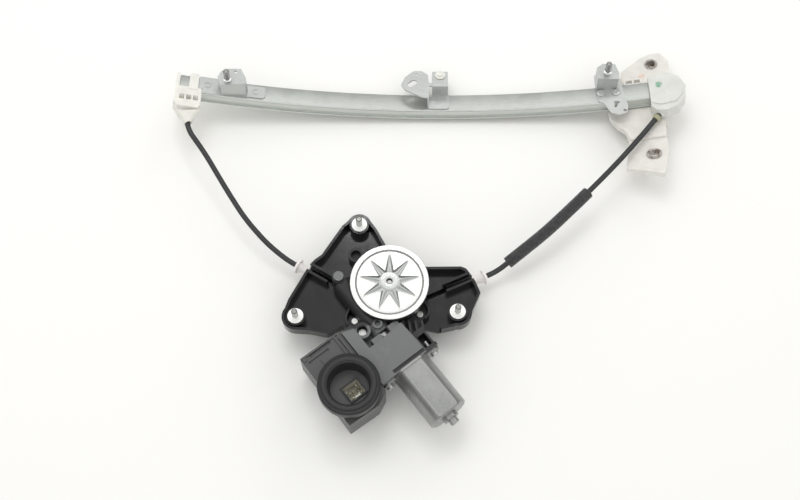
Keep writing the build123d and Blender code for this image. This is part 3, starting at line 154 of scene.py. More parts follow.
# ---- Guide rail ----
# Roll-formed channel of zinc-coated sheet, bent to the glass's curve. Rolling leaves long
# faint streaks, and the zinc has a soft cloudy bloom.


def shader(name):
    material = bpy.data.materials.new(name)
    material.use_nodes = True
    return material, material.node_tree, material.node_tree.nodes["Principled BSDF"]


def node(tree, kind, inputs=(), **settings):
    made = tree.nodes.new(kind)
    for name, value in settings.items():
        setattr(made, name, value)
    for name, value in dict(inputs).items():
        if isinstance(value, bpy.types.NodeSocket):
            tree.links.new(value, made.inputs[name])
        else:
            made.inputs[name].default_value = value
    return made


def place_on_piece(tree, stretch=(1, 1, 1), turn=0.0):
    coordinates = node(tree, "ShaderNodeTexCoord").outputs["Object"]
    mapping = {"Vector": coordinates, "Rotation": (0, 0, turn), "Scale": stretch}
    return node(tree, "ShaderNodeMapping", mapping).outputs["Vector"]


def cloud(tree, size, detail=3.0, stretch=(1, 1, 1), turn=0.0):
    """Soft noise whose features are about size metres across."""
    vector = place_on_piece(tree, stretch, turn)
    inputs = {"Vector": vector, "Scale": 1 / size, "Detail": detail, "Roughness": 0.6}
    return node(tree, "ShaderNodeTexNoise", inputs).outputs["Fac"]


def graded(tree, value, low, high, at_low, at_high):
    inputs = {"Value": value, "From Min": low, "From Max": high, "To Min": at_low, "To Max": at_high}
    return node(tree, "ShaderNodeMapRange", inputs).outputs["Result"]


def tinted(tree, share, first, second):
    made = node(tree, "ShaderNodeMix", data_type="RGBA")
    made.clamp_factor = True
    for socket, value in ((made.inputs[0], share), (made.inputs[6], first), (made.inputs[7], second)):
        if isinstance(value, bpy.types.NodeSocket):
            tree.links.new(value, socket)
        else:
            socket.default_value = value if isinstance(value, float) else (*value[:3], 1)
    return made.outputs[2]


def raise_surface(tree, surface, height, distance, strength=1.0):
    """Adds a bump of about distance metres to a shader, on top of any that it has."""
    bump = node(tree, "ShaderNodeBump", {"Height": height, "Distance": distance, "Strength": strength})
    before = surface.inputs["Normal"].links
    if before:
        tree.links.new(before[0].from_socket, bump.inputs["Normal"])
    tree.links.new(bump.outputs["Normal"], surface.inputs["Normal"])


def near_point(tree, point, radius, edge=0.5):
    """1 inside a ball round a point, falling to 0 outside it."""
    vector = place_on_piece(tree)
    inputs = {0: vector, 1: point}
    distance = node(tree, "ShaderNodeVectorMath", inputs, operation="DISTANCE").outputs["Value"]
    return graded(tree, distance, radius * (1 - edge), radius * (1 + edge), 1.0, 0.0)


def rolled_sheet(name, colour, streak_stretch=(0.06, 1, 1), turn=0.0, tilt_painted_light_share=0.75):
    """Zinc or steel sheet, streaked one way and cloudy, with painted light and shade: faces tilted from level
    take its colour times a share.
    """
    material, tree, surface = shader(name)
    streaks = cloud(tree, 0.0012, 4, streak_stretch, turn)
    bloom = cloud(tree, 0.022, 4)
    darker = tuple(0.84 * part for part in colour)
    paler = tuple(min(1, 1.1 * part) for part in colour)
    base = tinted(tree, graded(tree, streaks, 0.35, 0.65, 0.0, 1.0), darker, colour)
    base = tinted(tree, graded(tree, bloom, 0.42, 0.62, 0.0, 0.7), base, paler)
    # Painted light and shade: tilted faces take the colour times the given share, standing in for how light
    # falls on them.
    geometry = node(tree, "ShaderNodeNewGeometry")
    facing = node(tree, "ShaderNodeSeparateXYZ", {0: geometry.outputs["True Normal"]})
    flat = graded(tree, facing.outputs["Z"], 0.86, 0.985, 0.0, 1.0)
    base = tinted(tree, flat, tuple(tilt_painted_light_share * part for part in colour), base)
    tree.links.new(base, surface.inputs["Base Color"])
    tree.links.new(graded(tree, bloom, 0.3, 0.7, 0.3, 0.44), surface.inputs["Roughness"])
    surface.inputs["Metallic"].default_value = 0.85
    raise_surface(tree, surface, streaks, 0.00001)
    raise_surface(tree, surface, cloud(tree, 0.014, 2), 0.00012, 0.5)
    return material


def dress(name, material, edge=0.0003, sharp=32):
    """Gives a piece its finish and a hair of round on its edges, and keeps its flats flat."""
    piece = frame["nodes"][name]
    piece.data.materials.clear()
    piece.data.materials.append(material)
    for face in piece.data.polygons:
        face.use_smooth = True
    weld = piece.modifiers.new("joined faces", "WELD")
    weld.merge_threshold = 0.000002
    if edge:
        bevel = piece.modifiers.new("broken edges", "BEVEL")
        bevel.width = edge
        bevel.segments = 2
        bevel.limit_method = "ANGLE"
        bevel.angle_limit = math.radians(sharp)
        bevel.harden_normals = True
        flats = piece.modifiers.new("flat faces", "WEIGHTED_NORMAL")
        flats.weight = 100
        flats.keep_sharp = True
    return piece


def finished(name, form, material, body, sharp=40):
    """Turns a bmesh into a piece that rides on a body."""
    bmesh.ops.recalc_face_normals(form, faces=form.faces)
    for face in form.faces:
        face.smooth = True
    mesh = bpy.data.meshes.new(name)
    form.to_mesh(mesh)
    form.free()
    mesh.set_sharp_from_angle(angle=math.radians(sharp))
    mesh.materials.append(material)
    piece = bpy.data.objects.new(name, mesh)
    bpy.context.scene.collection.objects.link(piece)
    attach(piece, body)
    return piece


def rounded(corners, steps=5):
    """Closed chain of points through (x, y, radius) corners, each rounded to its radius."""
    chain = []
    for before, (x, y, radius), after in zip(corners[-1:] + corners[:-1], corners, corners[1:] + corners[:1]):
        corner = Vector((x, y))
        if radius == 0:
            chain.append(corner)
            continue
        arriving = (corner - Vector(before[:2])).normalized()
        leaving = (Vector(after[:2]) - corner).normalized()
        centre = corner - arriving * radius + leaving * radius
        first = corner - arriving * radius - centre
        turn = first.angle_signed(corner + leaving * radius - centre)
        for step in range(steps + 1):
            chain.append(centre + Matrix.Rotation(-turn * step / steps, 2) @ first)
    return chain


ROOT = "rail_and_housing"
BEND_R = 1.1
RAIL_STATION = 0.0035
RAIL_SPAN = (-0.265, -0.2427, 0.211)  # ends of the rail, and where its south flange begins
RAIL_SECTION = [
    (-0.0135, -0.0095, 0.0002), (-0.0135, -0.0083, 0.0002), (-0.011, -0.0083, 0.0004), (-0.011, 0, 0.0019),
    (0.011, 0, 0.0019), (0.011, -0.0083, 0.0004), (0.0135, -0.0083, 0.0002), (0.0135, -0.0095, 0.0002),
    (0.0098, -0.0095, 0.0002), (0.0098, -0.0012, 0.0007), (-0.0098, -0.0012, 0.0007),
    (-0.0098, -0.0095, 0.0002),
]
SHORT_SECTION = [(-0.0098, 0, 0.0002), *RAIL_SECTION[4:10], (-0.0098, -0.0012, 0.0002)]
travel = next(joint for joint in frame["record"]["behaviour"]["joints"] if joint["name"] == "carrier_travel")
bend_centre, across = Vector(travel["pos_m"]), Vector(travel["axis"])
door_normal = Vector((1, 0, 0)).cross(across)
form = bmesh.new()
for section, first, last in ((SHORT_SECTION, *RAIL_SPAN[:2]), (RAIL_SECTION, *RAIL_SPAN[1:])):
    stations = max(4, round((last - first) / RAIL_STATION))
    rings = []
    for station in range(stations + 1):
        turn = (first + (last - first) * station / stations) / BEND_R
        outward = door_normal * math.cos(turn) - Vector((1, 0, 0)) * math.sin(turn)
        places = [bend_centre + across * p.x - outward * (BEND_R - p.y) for p in rounded(section)]
        rings.append([form.verts.new(place) for place in places])
    for ring, after in zip(rings, rings[1:]):
        for i in range(len(ring)):
            form.faces.new((ring[i - 1], ring[i], after[i], after[i - 1]))
    form.faces.new(rings[0])
    form.faces.new(rings[-1])
# The rail's tilted flanges and bends are painted 1.22 times paler, a painted highlight.
rail_zinc = rolled_sheet("rail_zinc", (0.5, 0.52, 0.495), tilt_painted_light_share=1.22)
rail = finished("rolled_rail", form, rail_zinc, ROOT)
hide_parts("guide_rail")

# ---- Rail brackets ----
# Three pressings of thicker zinc-coated sheet. Two are clinched to the rail's web and the
# upper one is riveted.
# Tilted faces of the brackets are painted at 0.9 of the colour, a painted shade.
bracket_zinc = rolled_sheet("bracket_zinc", (0.58, 0.595, 0.58), (0.5, 1, 1), 0.5, 0.9)
for bracket in ("lower_bracket", "centre_bracket", "upper_bracket"):
    dress(bracket, bracket_zinc, 0.0003, 15)


def bright_zinc(name, colour=(0.6, 0.6, 0.57)):
    material, tree, surface = shader(name)
    blotches = cloud(tree, 0.0025, 4)
    base = tinted(tree, graded(tree, blotches, 0.35, 0.65, 0.0, 1.0), tuple(0.92 * c for c in colour), colour)
    tree.links.new(base, surface.inputs["Base Color"])
    tree.links.new(graded(tree, blotches, 0.3, 0.7, 0.2, 0.42), surface.inputs["Roughness"])
    surface.inputs["Metallic"].default_value = 0.75
    raise_surface(tree, surface, cloud(tree, 0.0006, 2), 0.00001)
    return material


fastener_zinc = bright_zinc("fastener_zinc", (0.6, 0.61, 0.6))
dress("upper_bracket_rivets", fastener_zinc, 0.0003)

# ---- Threaded studs ----
# Zinc-plated M6 studs with a rolled thread. The three in the drum housing have a round
# flange, and the two on the rail's brackets sit on a small collar.
THREAD_PITCH = 0.001
THREAD_R = 0.003
THREAD_ROOT_R = 0.00246
THREAD_POINT = 0.0007
TURN_STEPS = 28
SEAT_BELOW_SHANK = {"housing": 0.0015, "rail": 0.0007}


def lathe(form, profile, steps=48):
    """Spins a chain of (radius, height) points round Z into the bmesh."""
    chain = [form.verts.new((radius, 0, height)) for radius, height in profile]
    edges = [form.edges.new(pair) for pair in zip(chain, chain[1:])]
    bmesh.ops.spin(form, geom=chain + edges, cent=(0, 0, 0), axis=(0, 0, 1),
                   angle=2 * math.pi, steps=steps, use_merge=True)
    bmesh.ops.remove_doubles(form, verts=form.verts, dist=0.000001)


def standing(point, axis):
    """Matrix that stands a form made along Z on a point, along an axis."""
    turn = Vector(axis).to_track_quat("Z", "Y").to_matrix().to_4x4()
    return Matrix.Translation(point) @ turn


def cut_thread(form, length):
    """Helical M6 thread from Z = 0, its core and its pointed tip."""
    turns = int(length / THREAD_PITCH) - 1
    quarter = THREAD_PITCH / 4
    ridge = [(THREAD_ROOT_R, 0), (THREAD_ROOT_R, 0.6 * quarter), (THREAD_R, 1.8 * quarter),
             (THREAD_R, 2.2 * quarter), (THREAD_ROOT_R, 3.4 * quarter), (THREAD_ROOT_R, 4 * quarter)]
    chain = [form.verts.new((radius, 0, height)) for radius, height in ridge]
    edges = [form.edges.new(pair) for pair in zip(chain, chain[1:])]
    steps = turns * TURN_STEPS
    bmesh.ops.spin(form, geom=chain + edges, cent=(0, 0, 0), axis=(0, 0, 1), angle=2 * math.pi * turns,
                   steps=steps, dvec=(0, 0, THREAD_PITCH / TURN_STEPS))
    core = THREAD_ROOT_R + 0.00001
    shoulder = length - THREAD_POINT
    lathe(form, [(0, 0), (core, 0), (core, shoulder), (core - THREAD_POINT, length), (0, length)], TURN_STEPS)


def threaded_stud(form, mount):
    """Flange or collar with its thread on it, at one of the record's stud mounts; the thread takes the second
    material, the painted-shade one.
    """
    length = mount["dims"]["length_mm"] / 1000
    kind = mount["name"].split("_")[0]
    flange = SEAT_BELOW_SHANK[kind]
    stud = bmesh.new()
    cut_thread(stud, length + 0.0008)
    for face in stud.faces:
        face.material_index = 1
    if kind == "housing":
        rim = [(0, -flange), (0.0068, -flange), (0.0075, -flange + 0.0005), (0.0074, -0.0003), (0.0068, 0),
               (0.0036, 0.0001), (0.0031, 0.0004), (0, 0.0004)]
    else:
        rim = [(0, -flange), (0.0043, -flange), (0.0043, -0.0002), (0.004, 0), (0, 0.0001)]
    lathe(stud, rim)
    axis = Vector(mount["axis"])
    foot = Vector(mount["pos_m"]) - axis * length / 2
    bmesh.ops.transform(stud, matrix=standing(foot, axis), verts=stud.verts)
    spare = bpy.data.meshes.new("spare")
    stud.to_mesh(spare)
    stud.free()
    form.from_mesh(spare)
    bpy.data.meshes.remove(spare)


# Painted light on one zinc: flanges and collars are painted near white as a highlight, and the threads dark
# grey as painted shade.
lit_flange_zinc = bright_zinc("lit_flange_zinc", (0.92, 0.92, 0.9))
shaded_thread_zinc = bright_zinc("shaded_thread_zinc", (0.36, 0.36, 0.345))
STUD_NODES = {"housing_stud": "mounting_studs", "rail_stud_lower": "lower_bracket_stud",
              "rail_stud_upper": "upper_bracket_stud"}
for start, cad_node in STUD_NODES.items():
    form = bmesh.new()
    for mount in frame["record"]["mounts"]:
        if mount["name"].startswith(start):
            threaded_stud(form, mount)
    studs = finished(cad_node + "_threaded", form, lit_flange_zinc, ROOT)
    studs.data.materials.append(shaded_thread_zinc)
    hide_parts(cad_node)

# ---- White mouldings of the rail ----
# Natural acetal, milky and slightly see-through at thin edges: the cable guide with its
# funnel, the pulley housing with a dab of green paint, the snap button and the glass
# carrier with its rust mark.
RUST = (0.72, 0.3, 0.12)
GREEN_PAINT = (0.05, 0.3, 0.16)


def natural_acetal(name, colour=(0.82, 0.81, 0.76), marks=()):
    material, tree, surface = shader(name)
    haze = cloud(tree, 0.012, 4)
    base = tinted(tree, graded(tree, haze, 0.35, 0.65, 0.0, 1.0), tuple(0.9 * c for c in colour), colour)
    for point, radius, stain in marks:
        blot = cloud(tree, 0.004, 5)
        spot = near_point(tree, point, radius)
        share = node(tree, "ShaderNodeMath", {0: spot, 1: blot}, operation="MULTIPLY")
        base = tinted(tree, graded(tree, share.outputs[0], 0.2, 0.55, 0.0, 1.0), base, stain)
    tree.links.new(base, surface.inputs["Base Color"])
    tree.links.new(graded(tree, cloud(tree, 0.005, 3), 0.3, 0.7, 0.34, 0.5), surface.inputs["Roughness"])
    surface.inputs["Subsurface Weight"].default_value = 0.25
    surface.inputs["Subsurface Radius"].default_value = (0.004, 0.0036, 0.003)
    surface.inputs["Subsurface Scale"].default_value = 1.0
    raise_surface(tree, surface, cloud(tree, 0.0009, 2), 0.00002)
    return material


guide_acetal = natural_acetal("guide_acetal", (0.81, 0.8, 0.745))
for moulding in ("lower_cable_guide", "centre_bracket_clip"):
    dress(moulding, guide_acetal, 0.0004)
RAIL_END = Vector((-0.24349, 0.14818, 0.04115))
ALONG, ACROSS = Vector((0.973, -0.048, -0.2258)), Vector((0, 0.9781, -0.2079))
LIFT = ALONG.cross(ACROSS)
FUNNEL_SIDES = 48
# Rings from the guide to the mouth and back inside: middle along, across and up from the
# rail's end, lean of the ring, half width, half depth, and 2 for round or more for squarer
FUNNEL = [
    (0.0029, -0.0342, -0.005, 0.274, 0.0111, 0.0056, 5),
    (0.0032, -0.0372, -0.0058, 0.3, 0.0082, 0.0051, 3.4),
    (0.0037, -0.0416, -0.007, 0.38, 0.0053, 0.0045, 2.4),
    (0.0041, -0.0449, -0.0078, 0.43, 0.0042, 0.0042, 2),
    (0.0041, -0.0449, -0.0078, 0.43, 0.0033, 0.0033, 2),
    (0.0037, -0.0419, -0.0072, 0.4, 0.0032, 0.0032, 2),
]
form = bmesh.new()
rings = []
for x, y, lift, lean, half_width, half_depth, squareness in FUNNEL:
    side = Vector((math.sqrt(1 - lean * lean), lean))
    ring = []
    for corner in range(FUNNEL_SIDES):
        angle = 2 * math.pi * corner / FUNNEL_SIDES
        c, s = math.cos(angle), math.sin(angle)
        wide = half_width * math.copysign(abs(c) ** (2 / squareness), c)
        deep = half_depth * math.copysign(abs(s) ** (2 / squareness), s)
        level_place = ALONG * (x + wide * side.x) + ACROSS * (y + wide * side.y)
        ring.append(form.verts.new(RAIL_END + level_place + LIFT * (lift + deep)))
    rings.append(ring)
for ring, after in zip(rings, rings[1:]):
    for i in range(FUNNEL_SIDES):
        form.faces.new((ring[i - 1], ring[i], after[i], after[i - 1]))
form.faces.new(rings[0])
form.faces.new(rings[-1])
finished("guide_funnel", form, guide_acetal, ROOT, 50)
housing_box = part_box("upper_pulley_housing")
housing_top = housing_box[1].z
green_dot = (housing_box[0].x + 0.0165, housing_box[1].y - 0.015, housing_top - 0.007)
pulley_acetal = natural_acetal("pulley_acetal", (0.72, 0.725, 0.69), [(green_dot, 0.0042, GREEN_PAINT)])
dress("upper_pulley_housing", pulley_acetal, 0.0005)
bush_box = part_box("carrier_round_bush")
bush_place = (bush_box[0] + bush_box[1]) / 2
carrier_acetal = natural_acetal(
    "carrier_acetal", (0.78, 0.76, 0.72),
    [(bush_place - Vector((0.0104, 0.0155, 0)), 0.0055, RUST)],
)
dress("glass_carrier", carrier_acetal, 0.0005)

# ---- Bushes and inner parts of the rail's ends ----
# Two pressed steel bushes in the carrier, rusted where the glass bolts sat, the cable's
# cast nipples, and the pulley that turns on its pin.


def rusty_steel(name, rust_share):
    material, tree, surface = shader(name)
    patches = cloud(tree, 0.005, 3)
    share = graded(tree, patches, 0.6 - rust_share, 0.75 - rust_share, 0.0, 1.0)
    base = tinted(tree, share, (0.4, 0.375, 0.345), (0.2, 0.15, 0.12))
    tree.links.new(base, surface.inputs["Base Color"])
    tree.links.new(graded(tree, share, 0, 1, 0.35, 0.85), surface.inputs["Roughness"])
    tree.links.new(graded(tree, share, 0, 1, 0.95, 0.1), surface.inputs["Metallic"])
    raise_surface(tree, surface, patches, 0.00003)
    return material


bush_steel = rusty_steel("bush_steel", 0.12)
for bush in ("carrier_round_bush", "carrier_long_bush"):
    dress(bush, bush_steel, 0.0002)
dress("carrier_cable_nipples", bright_zinc("cast_nipple", (0.45, 0.45, 0.44)), 0.0002)
dress("upper_pulley", natural_acetal("pulley_wheel_acetal", (0.75, 0.74, 0.7)), 0.0003)
ground_steel = bright_zinc("ground_steel", (0.55, 0.55, 0.55))
dress("upper_pulley_pin", ground_steel, 0.0002)

# ---- Cable and conduits ----
# Greased stranded wire in the rail and to the drum. Outside it runs in two stiff conduits
# with a smooth black jacket, one of them through a foam sleeve against rattle. Each ends in
# a bell-mouthed cap, coloured dark within 82 mm of the drum's axis, where it lies inside the drum housing.


def stranded_wire(name):
    material, tree, surface = shader(name)
    strands = cloud(tree, 0.0005, 2, (1, 1, 1), 0.7)
    base = tinted(tree, graded(tree, strands, 0.35, 0.65, 0.0, 1.0), (0.2, 0.19, 0.17), (0.5, 0.5, 0.48))
    tree.links.new(base, surface.inputs["Base Color"])
    surface.inputs["Metallic"].default_value = 0.8
    surface.inputs["Roughness"].default_value = 0.4
    raise_surface(tree, surface, strands, 0.00008)
    return material


wire = stranded_wire("wire")
for length in ("rail_cable", "drum_cable_leads", "drum_cable_wraps"):
    dress(length, wire, 0)


def black_jacket(name, colour=(0.022, 0.022, 0.024), dust=0.06, roughness=(0.28, 0.42)):
    material, tree, surface = shader(name)
    dusty = cloud(tree, 0.006, 5)
    base = tinted(tree, graded(tree, dusty, 0.52, 0.75, 0.0, 0.5), colour, (dust, dust, dust))
    tree.links.new(base, surface.inputs["Base Color"])
    tree.links.new(graded(tree, dusty, 0.3, 0.7, *roughness), surface.inputs["Roughness"])
    raise_surface(tree, surface, cloud(tree, 0.0016, 3), 0.00005)
    return material


jacket = black_jacket("jacket")
for conduit in ("lower_conduit", "upper_conduit"):
    dress(conduit, jacket, 0)


def closed_cell_foam(name):
    material, tree, surface = shader(name)
    cells = node(tree, "ShaderNodeTexVoronoi", {"Vector": place_on_piece(tree), "Scale": 1400.0})
    lumps = cloud(tree, 0.003, 4)
    base = tinted(tree, graded(tree, lumps, 0.35, 0.65, 0.0, 1.0), (0.03, 0.03, 0.032), (0.055, 0.055, 0.056))
    tree.links.new(base, surface.inputs["Base Color"])
    surface.inputs["Roughness"].default_value = 0.95
    surface.inputs["Sheen Weight"].default_value = 0.3
    raise_surface(tree, surface, lumps, 0.0005, 0.7)
    raise_surface(tree, surface, cells.outputs["Distance"], 0.00025, 0.8)
    return material


dress("foam_sleeve", closed_cell_foam("foam"), 0.0006)
dress("upper_conduit_ferrule", natural_acetal("ferrule_acetal", (0.42, 0.4, 0.26)), 0.0003)
cap_acetal = natural_acetal("cap_acetal", (0.9, 0.86, 0.84))
cap_nodes = cap_acetal.node_tree
cap_surface = cap_nodes.nodes["Principled BSDF"]
moulded_cap = cap_surface.inputs["Base Color"].links[0].from_socket
pin_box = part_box("wheel_pin")
drum_axis = Vector(((pin_box[0].x + pin_box[1].x) / 2, (pin_box[0].y + pin_box[1].y) / 2, 0))
# The cap is coloured dark within this distance of the drum's axis, where it lies inside the drum housing.
DARKENED_WITHIN = 0.082
INSIDE_HOUSING_DARK = (0.06, 0.058, 0.055)
within_housing = near_point(cap_nodes, drum_axis, DARKENED_WITHIN, 0.01)
cap_nodes.links.new(tinted(cap_nodes, within_housing, moulded_cap, INSIDE_HOUSING_DARK), cap_surface.inputs["Base Color"])
CABLE_R = 0.020
# Degrees that the cable leaves along and touches the drum at, and its height
CAP_LINES = {"lower": (149.6, 239.6, 0.0178), "upper": (24.0, -66.0, 0.0154)}
# Radius and distance from the drum's tangent point, in millimetres
CAP_SECTION = [
    (0.95, 48), (2.4, 48), (2.4, 52), (1.45, 52), (1.45, 79), (3.7, 79), (4.1, 84), (4.7, 86.5), (5.4, 89),
    (6.9, 89.2), (7.3, 89.7), (7.3, 90.6), (6.4, 91), (6.2, 92), (5.6, 92.4), (2.95, 92.4), (2.95, 84),
    (0.95, 84), (0.95, 48),
]
for side, (leaving, touching, height) in CAP_LINES.items():
    touch = Vector((math.cos(math.radians(touching)), math.sin(math.radians(touching)), 0))
    outward = Vector((math.cos(math.radians(leaving)), math.sin(math.radians(leaving)), 0))
    form = bmesh.new()
    lathe(form, [(radius / 1000, distance / 1000) for radius, distance in CAP_SECTION])
    origin = drum_axis + touch * CABLE_R + Vector((0, 0, height))
    bmesh.ops.transform(form, matrix=standing(origin, outward), verts=form.verts)
    cap = finished(side + "_bell_cap", form, cap_acetal, ROOT, 35)
    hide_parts(side + "_conduit_cap")

# ---- Slack springs ----
# A long close-wound spring in each slot of the drum housing, round the cap's sleeve. It
# keeps the cable tight as it wears.
SPRING_WIRE_R = 0.00038
SPRING_PITCH = 0.00105
SPRING_R = 0.00188
WIRE_SIDES = 8
SPRING_STEPS = 18
SPRING_INSET = 0.0023
for side in ("lower", "upper"):
    low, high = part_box(side + "_slack_spring")
    start = Vector((low.x, low.y if side == "upper" else high.y, 0))
    end = Vector((high.x, high.y if side == "upper" else low.y, 0))
    height = (low.z + high.z) / 2
    along = (end - start).normalized()
    across_x = SPRING_INSET * abs(along.y)
    across_y = SPRING_INSET * abs(along.x)
    start += Vector((across_x, across_y if side == "upper" else -across_y, height))
    end += Vector((-across_x, -across_y if side == "upper" else across_y, height))
    turns = int((end - start).length / SPRING_PITCH)
    form = bmesh.new()
    wire_ring = bmesh.ops.create_circle(form, segments=WIRE_SIDES, radius=SPRING_WIRE_R)["verts"]
    bmesh.ops.rotate(form, verts=wire_ring, cent=(0, 0, 0), matrix=Matrix.Rotation(math.pi / 2, 3, "X"))
    bmesh.ops.translate(form, verts=wire_ring, vec=(SPRING_R, 0, SPRING_WIRE_R))
    ring_edges = list(form.edges)
    bmesh.ops.spin(form, geom=wire_ring + ring_edges, cent=(0, 0, 0), axis=(0, 0, 1),
                   angle=2 * math.pi * turns, steps=turns * SPRING_STEPS,
                   dvec=(0, 0, SPRING_PITCH / SPRING_STEPS))
    bmesh.ops.transform(form, matrix=standing(start, end - start), verts=form.verts)
    spring = finished(side + "_slack_coil", form, ground_steel, ROOT)
    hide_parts(side + "_slack_spring")

# ---- Drum housing ----
# One black moulding of glass-filled plastic, glossy where it left the mould, with a little
# dust in its trays.


def black_moulding(name, colour, dust, gloss=(0.2, 0.42)):
    material, tree, surface = shader(name)
    dusty = cloud(tree, 0.018, 6)
    speckle = cloud(tree, 0.0008, 3)
    base = tinted(tree, graded(tree, dusty, 0.55, 0.8, 0.0, 0.5), colour, (dust, dust, dust))
    base = tinted(tree, graded(tree, speckle, 0.68, 0.76, 0.0, 0.3), base, (2 * dust, 2 * dust, 2 * dust))
    tree.links.new(base, surface.inputs["Base Color"])
    tree.links.new(graded(tree, dusty, 0.3, 0.7, *gloss), surface.inputs["Roughness"])
    raise_surface(tree, surface, cloud(tree, 0.02, 1), 0.0001, 0.3)
    raise_surface(tree, surface, speckle, 0.00001)
    return material


glossy_black = black_moulding("glossy_black", (0.008, 0.008, 0.009), 0.02, (0.1, 0.24))
dress("drum_housing", glossy_black, 0.0004)

# ---- Drum, wheel and hub ----
# The moving parts inside: a cable drum under the floor, the moulded worm wheel with its
# rubber damper, and the hub that joins them, all on one ground pin.
wheel_acetal = natural_acetal("wheel_acetal", (0.8, 0.78, 0.7))
for moulding in ("cable_drum", "worm_wheel", "output_hub"):
    dress(moulding, wheel_acetal, 0.0002)
dress("wheel_pin", ground_steel, 0.0003)


def moulded_rubber(name, colour=(0.018, 0.018, 0.019)):
    material, tree, surface = shader(name)
    bloom = cloud(tree, 0.01, 5)
    base = tinted(tree, graded(tree, bloom, 0.55, 0.8, 0.0, 0.4), colour, (0.04, 0.04, 0.041))
    tree.links.new(base, surface.inputs["Base Color"])
    tree.links.new(graded(tree, bloom, 0.3, 0.7, 0.34, 0.5), surface.inputs["Roughness"])
    raise_surface(tree, surface, cloud(tree, 0.0012, 3), 0.00005)
    return material


seal_rubber = moulded_rubber("seal_rubber")
for rubber in ("wheel_damper", "cover_seal"):
    dress(rubber, seal_rubber, 0.0002)

# ---- Gear case ----
# Glass-filled moulding with a fine sparked texture, black round the wheel and dark grey
# towards the motor, where handling has rubbed it paler. A dark stripe of painted shade runs where
# the can seats, and one of its screws has gone dull.


def inside(tree, edges, softness):
    """1 inside a patch bounded in plan by (point, inward direction) lines, 0 outside."""
    share = 1.0
    for (x, y), (towards_x, towards_y) in edges:
        inputs = {0: place_on_piece(tree), 1: (x, y, 0)}
        offset = node(tree, "ShaderNodeVectorMath", inputs, operation="SUBTRACT")
        inputs = {0: offset.outputs[0], 1: (towards_x, towards_y, 0)}
        ahead = node(tree, "ShaderNodeVectorMath", inputs, operation="DOT_PRODUCT").outputs["Value"]
        side = graded(tree, ahead, -softness, softness, 0.0, 1.0)
        share = node(tree, "ShaderNodeMath", {0: side, 1: share}, operation="MULTIPLY").outputs[0]
    return share


GREY_SIDE = (((-0.0877, -0.1171), (0.311, -0.950)), ((-0.0294, -0.1063), (-0.787, -0.617)))
CAN_GROOVE_SHADE_PATCH = (((0.0007, -0.1218), (0.617, -0.787)), ((0.0026, -0.1242), (-0.617, 0.787)),
              ((-0.0366, -0.1548), (0.787, 0.617)), ((-0.0098, -0.1324), (-0.787, -0.617)))
grey_moulding = black_moulding("grey_moulding", (0.15, 0.154, 0.154), 0.22, (0.4, 0.55))
case_nodes = grey_moulding.node_tree
case_surface = case_nodes.nodes["Principled BSDF"]
rubbed = case_surface.inputs["Base Color"].links[0].from_socket
BLACK_SIDE = (0.02, 0.02, 0.021)
PAINTED_GROOVE_SHADE = (0.022, 0.022, 0.022)
base = tinted(case_nodes, inside(case_nodes, GREY_SIDE, 0.001), BLACK_SIDE, rubbed)
# Painted shade: a dark stripe where the can seats stands in for the shadow in the groove there.
base = tinted(case_nodes, inside(case_nodes, CAN_GROOVE_SHADE_PATCH, 0.0002), base, PAINTED_GROOVE_SHADE)
case_nodes.links.new(base, case_surface.inputs["Base Color"])
dress("gear_case", grey_moulding, 0.0004)
screw_zinc = bright_zinc("screw_zinc", (0.72, 0.72, 0.7))
screw_nodes = screw_zinc.node_tree
screw_surface = screw_nodes.nodes["Principled BSDF"]
bright = screw_surface.inputs["Base Color"].links[0].from_socket
DULL_SCREW = (-0.0895, -0.063, 0.045)
DULL_ZINC = (0.16, 0.165, 0.165)
dull = near_point(screw_nodes, DULL_SCREW, 0.015, 0.1)
screw_nodes.links.new(tinted(screw_nodes, dull, bright, DULL_ZINC), screw_surface.inputs["Base Color"])
dress("case_screws", screw_zinc, 0.0004)

# ---- Gear cover ----
# Pressed bright steel lid over the wheel. Nine rays are pressed up round the raised hub,
# and the pin's end shows in its hole.
RAYS = 9
RAY_FOOT_R = 10.5
RAY_LENGTH = 17.5
RAY_HALF_WIDTH = 3.6
RAY_TIP_HALF_WIDTH = 0.8
HUB_LIFT = 0.0018
FLAT_R = 0.0312
HUB_R = 0.009
SHEET = 0.0011
SPOKES = 540
low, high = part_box("gear_cover")
cover_axis = (low + high) / 2
cover_top = high.z - HUB_LIFT
# Millimetres: rings of the pressing, its (radius, height) line without the rays, and its rim
RADII = [
    2.75, 3.0, 3.4, 5, 7, 8.4, 9, 9.5, 10, 10.5, 11, 11.5, 12, 12.5, 13, 13.8, 14.6, 15.4, 16.2, 17,
    18, 19, 20, 21, 22, 23, 24, 25, 25.5, 26, 26.5, 27, 28, 29, 30.2, 30.5, 30.8, 31.2, 31.6, 31.9,
    32.2, 33, 34.5, 35.8, 36.15,
]
PROFILE = [
    (2.7, 1.4), (3.1, 1.8), (8.2, 1.8), (9.2, 1.6), (10.2, 1.1), (11.4, 0.4), (12.4, 0.0), (13.4, -0.2),
    (30.2, -0.2), (30.7, -0.65), (31.2, -0.8), (31.7, -0.65), (32.2, 0.0), (36.15, 0.0),
]
RIM = [(36.45, -0.08), (36.68, -0.32), (36.75, -0.6), (36.75, -8.1)]


def plain_height(radius):
    """Height of the pressing in millimetres, without its rays."""
    for (r0, z0), (r1, z1) in zip(PROFILE, PROFILE[1:]):
        if radius <= r1:
            return z0 + (z1 - z0) * max(0, radius - r0) / (r1 - r0)
    return PROFILE[-1][1]


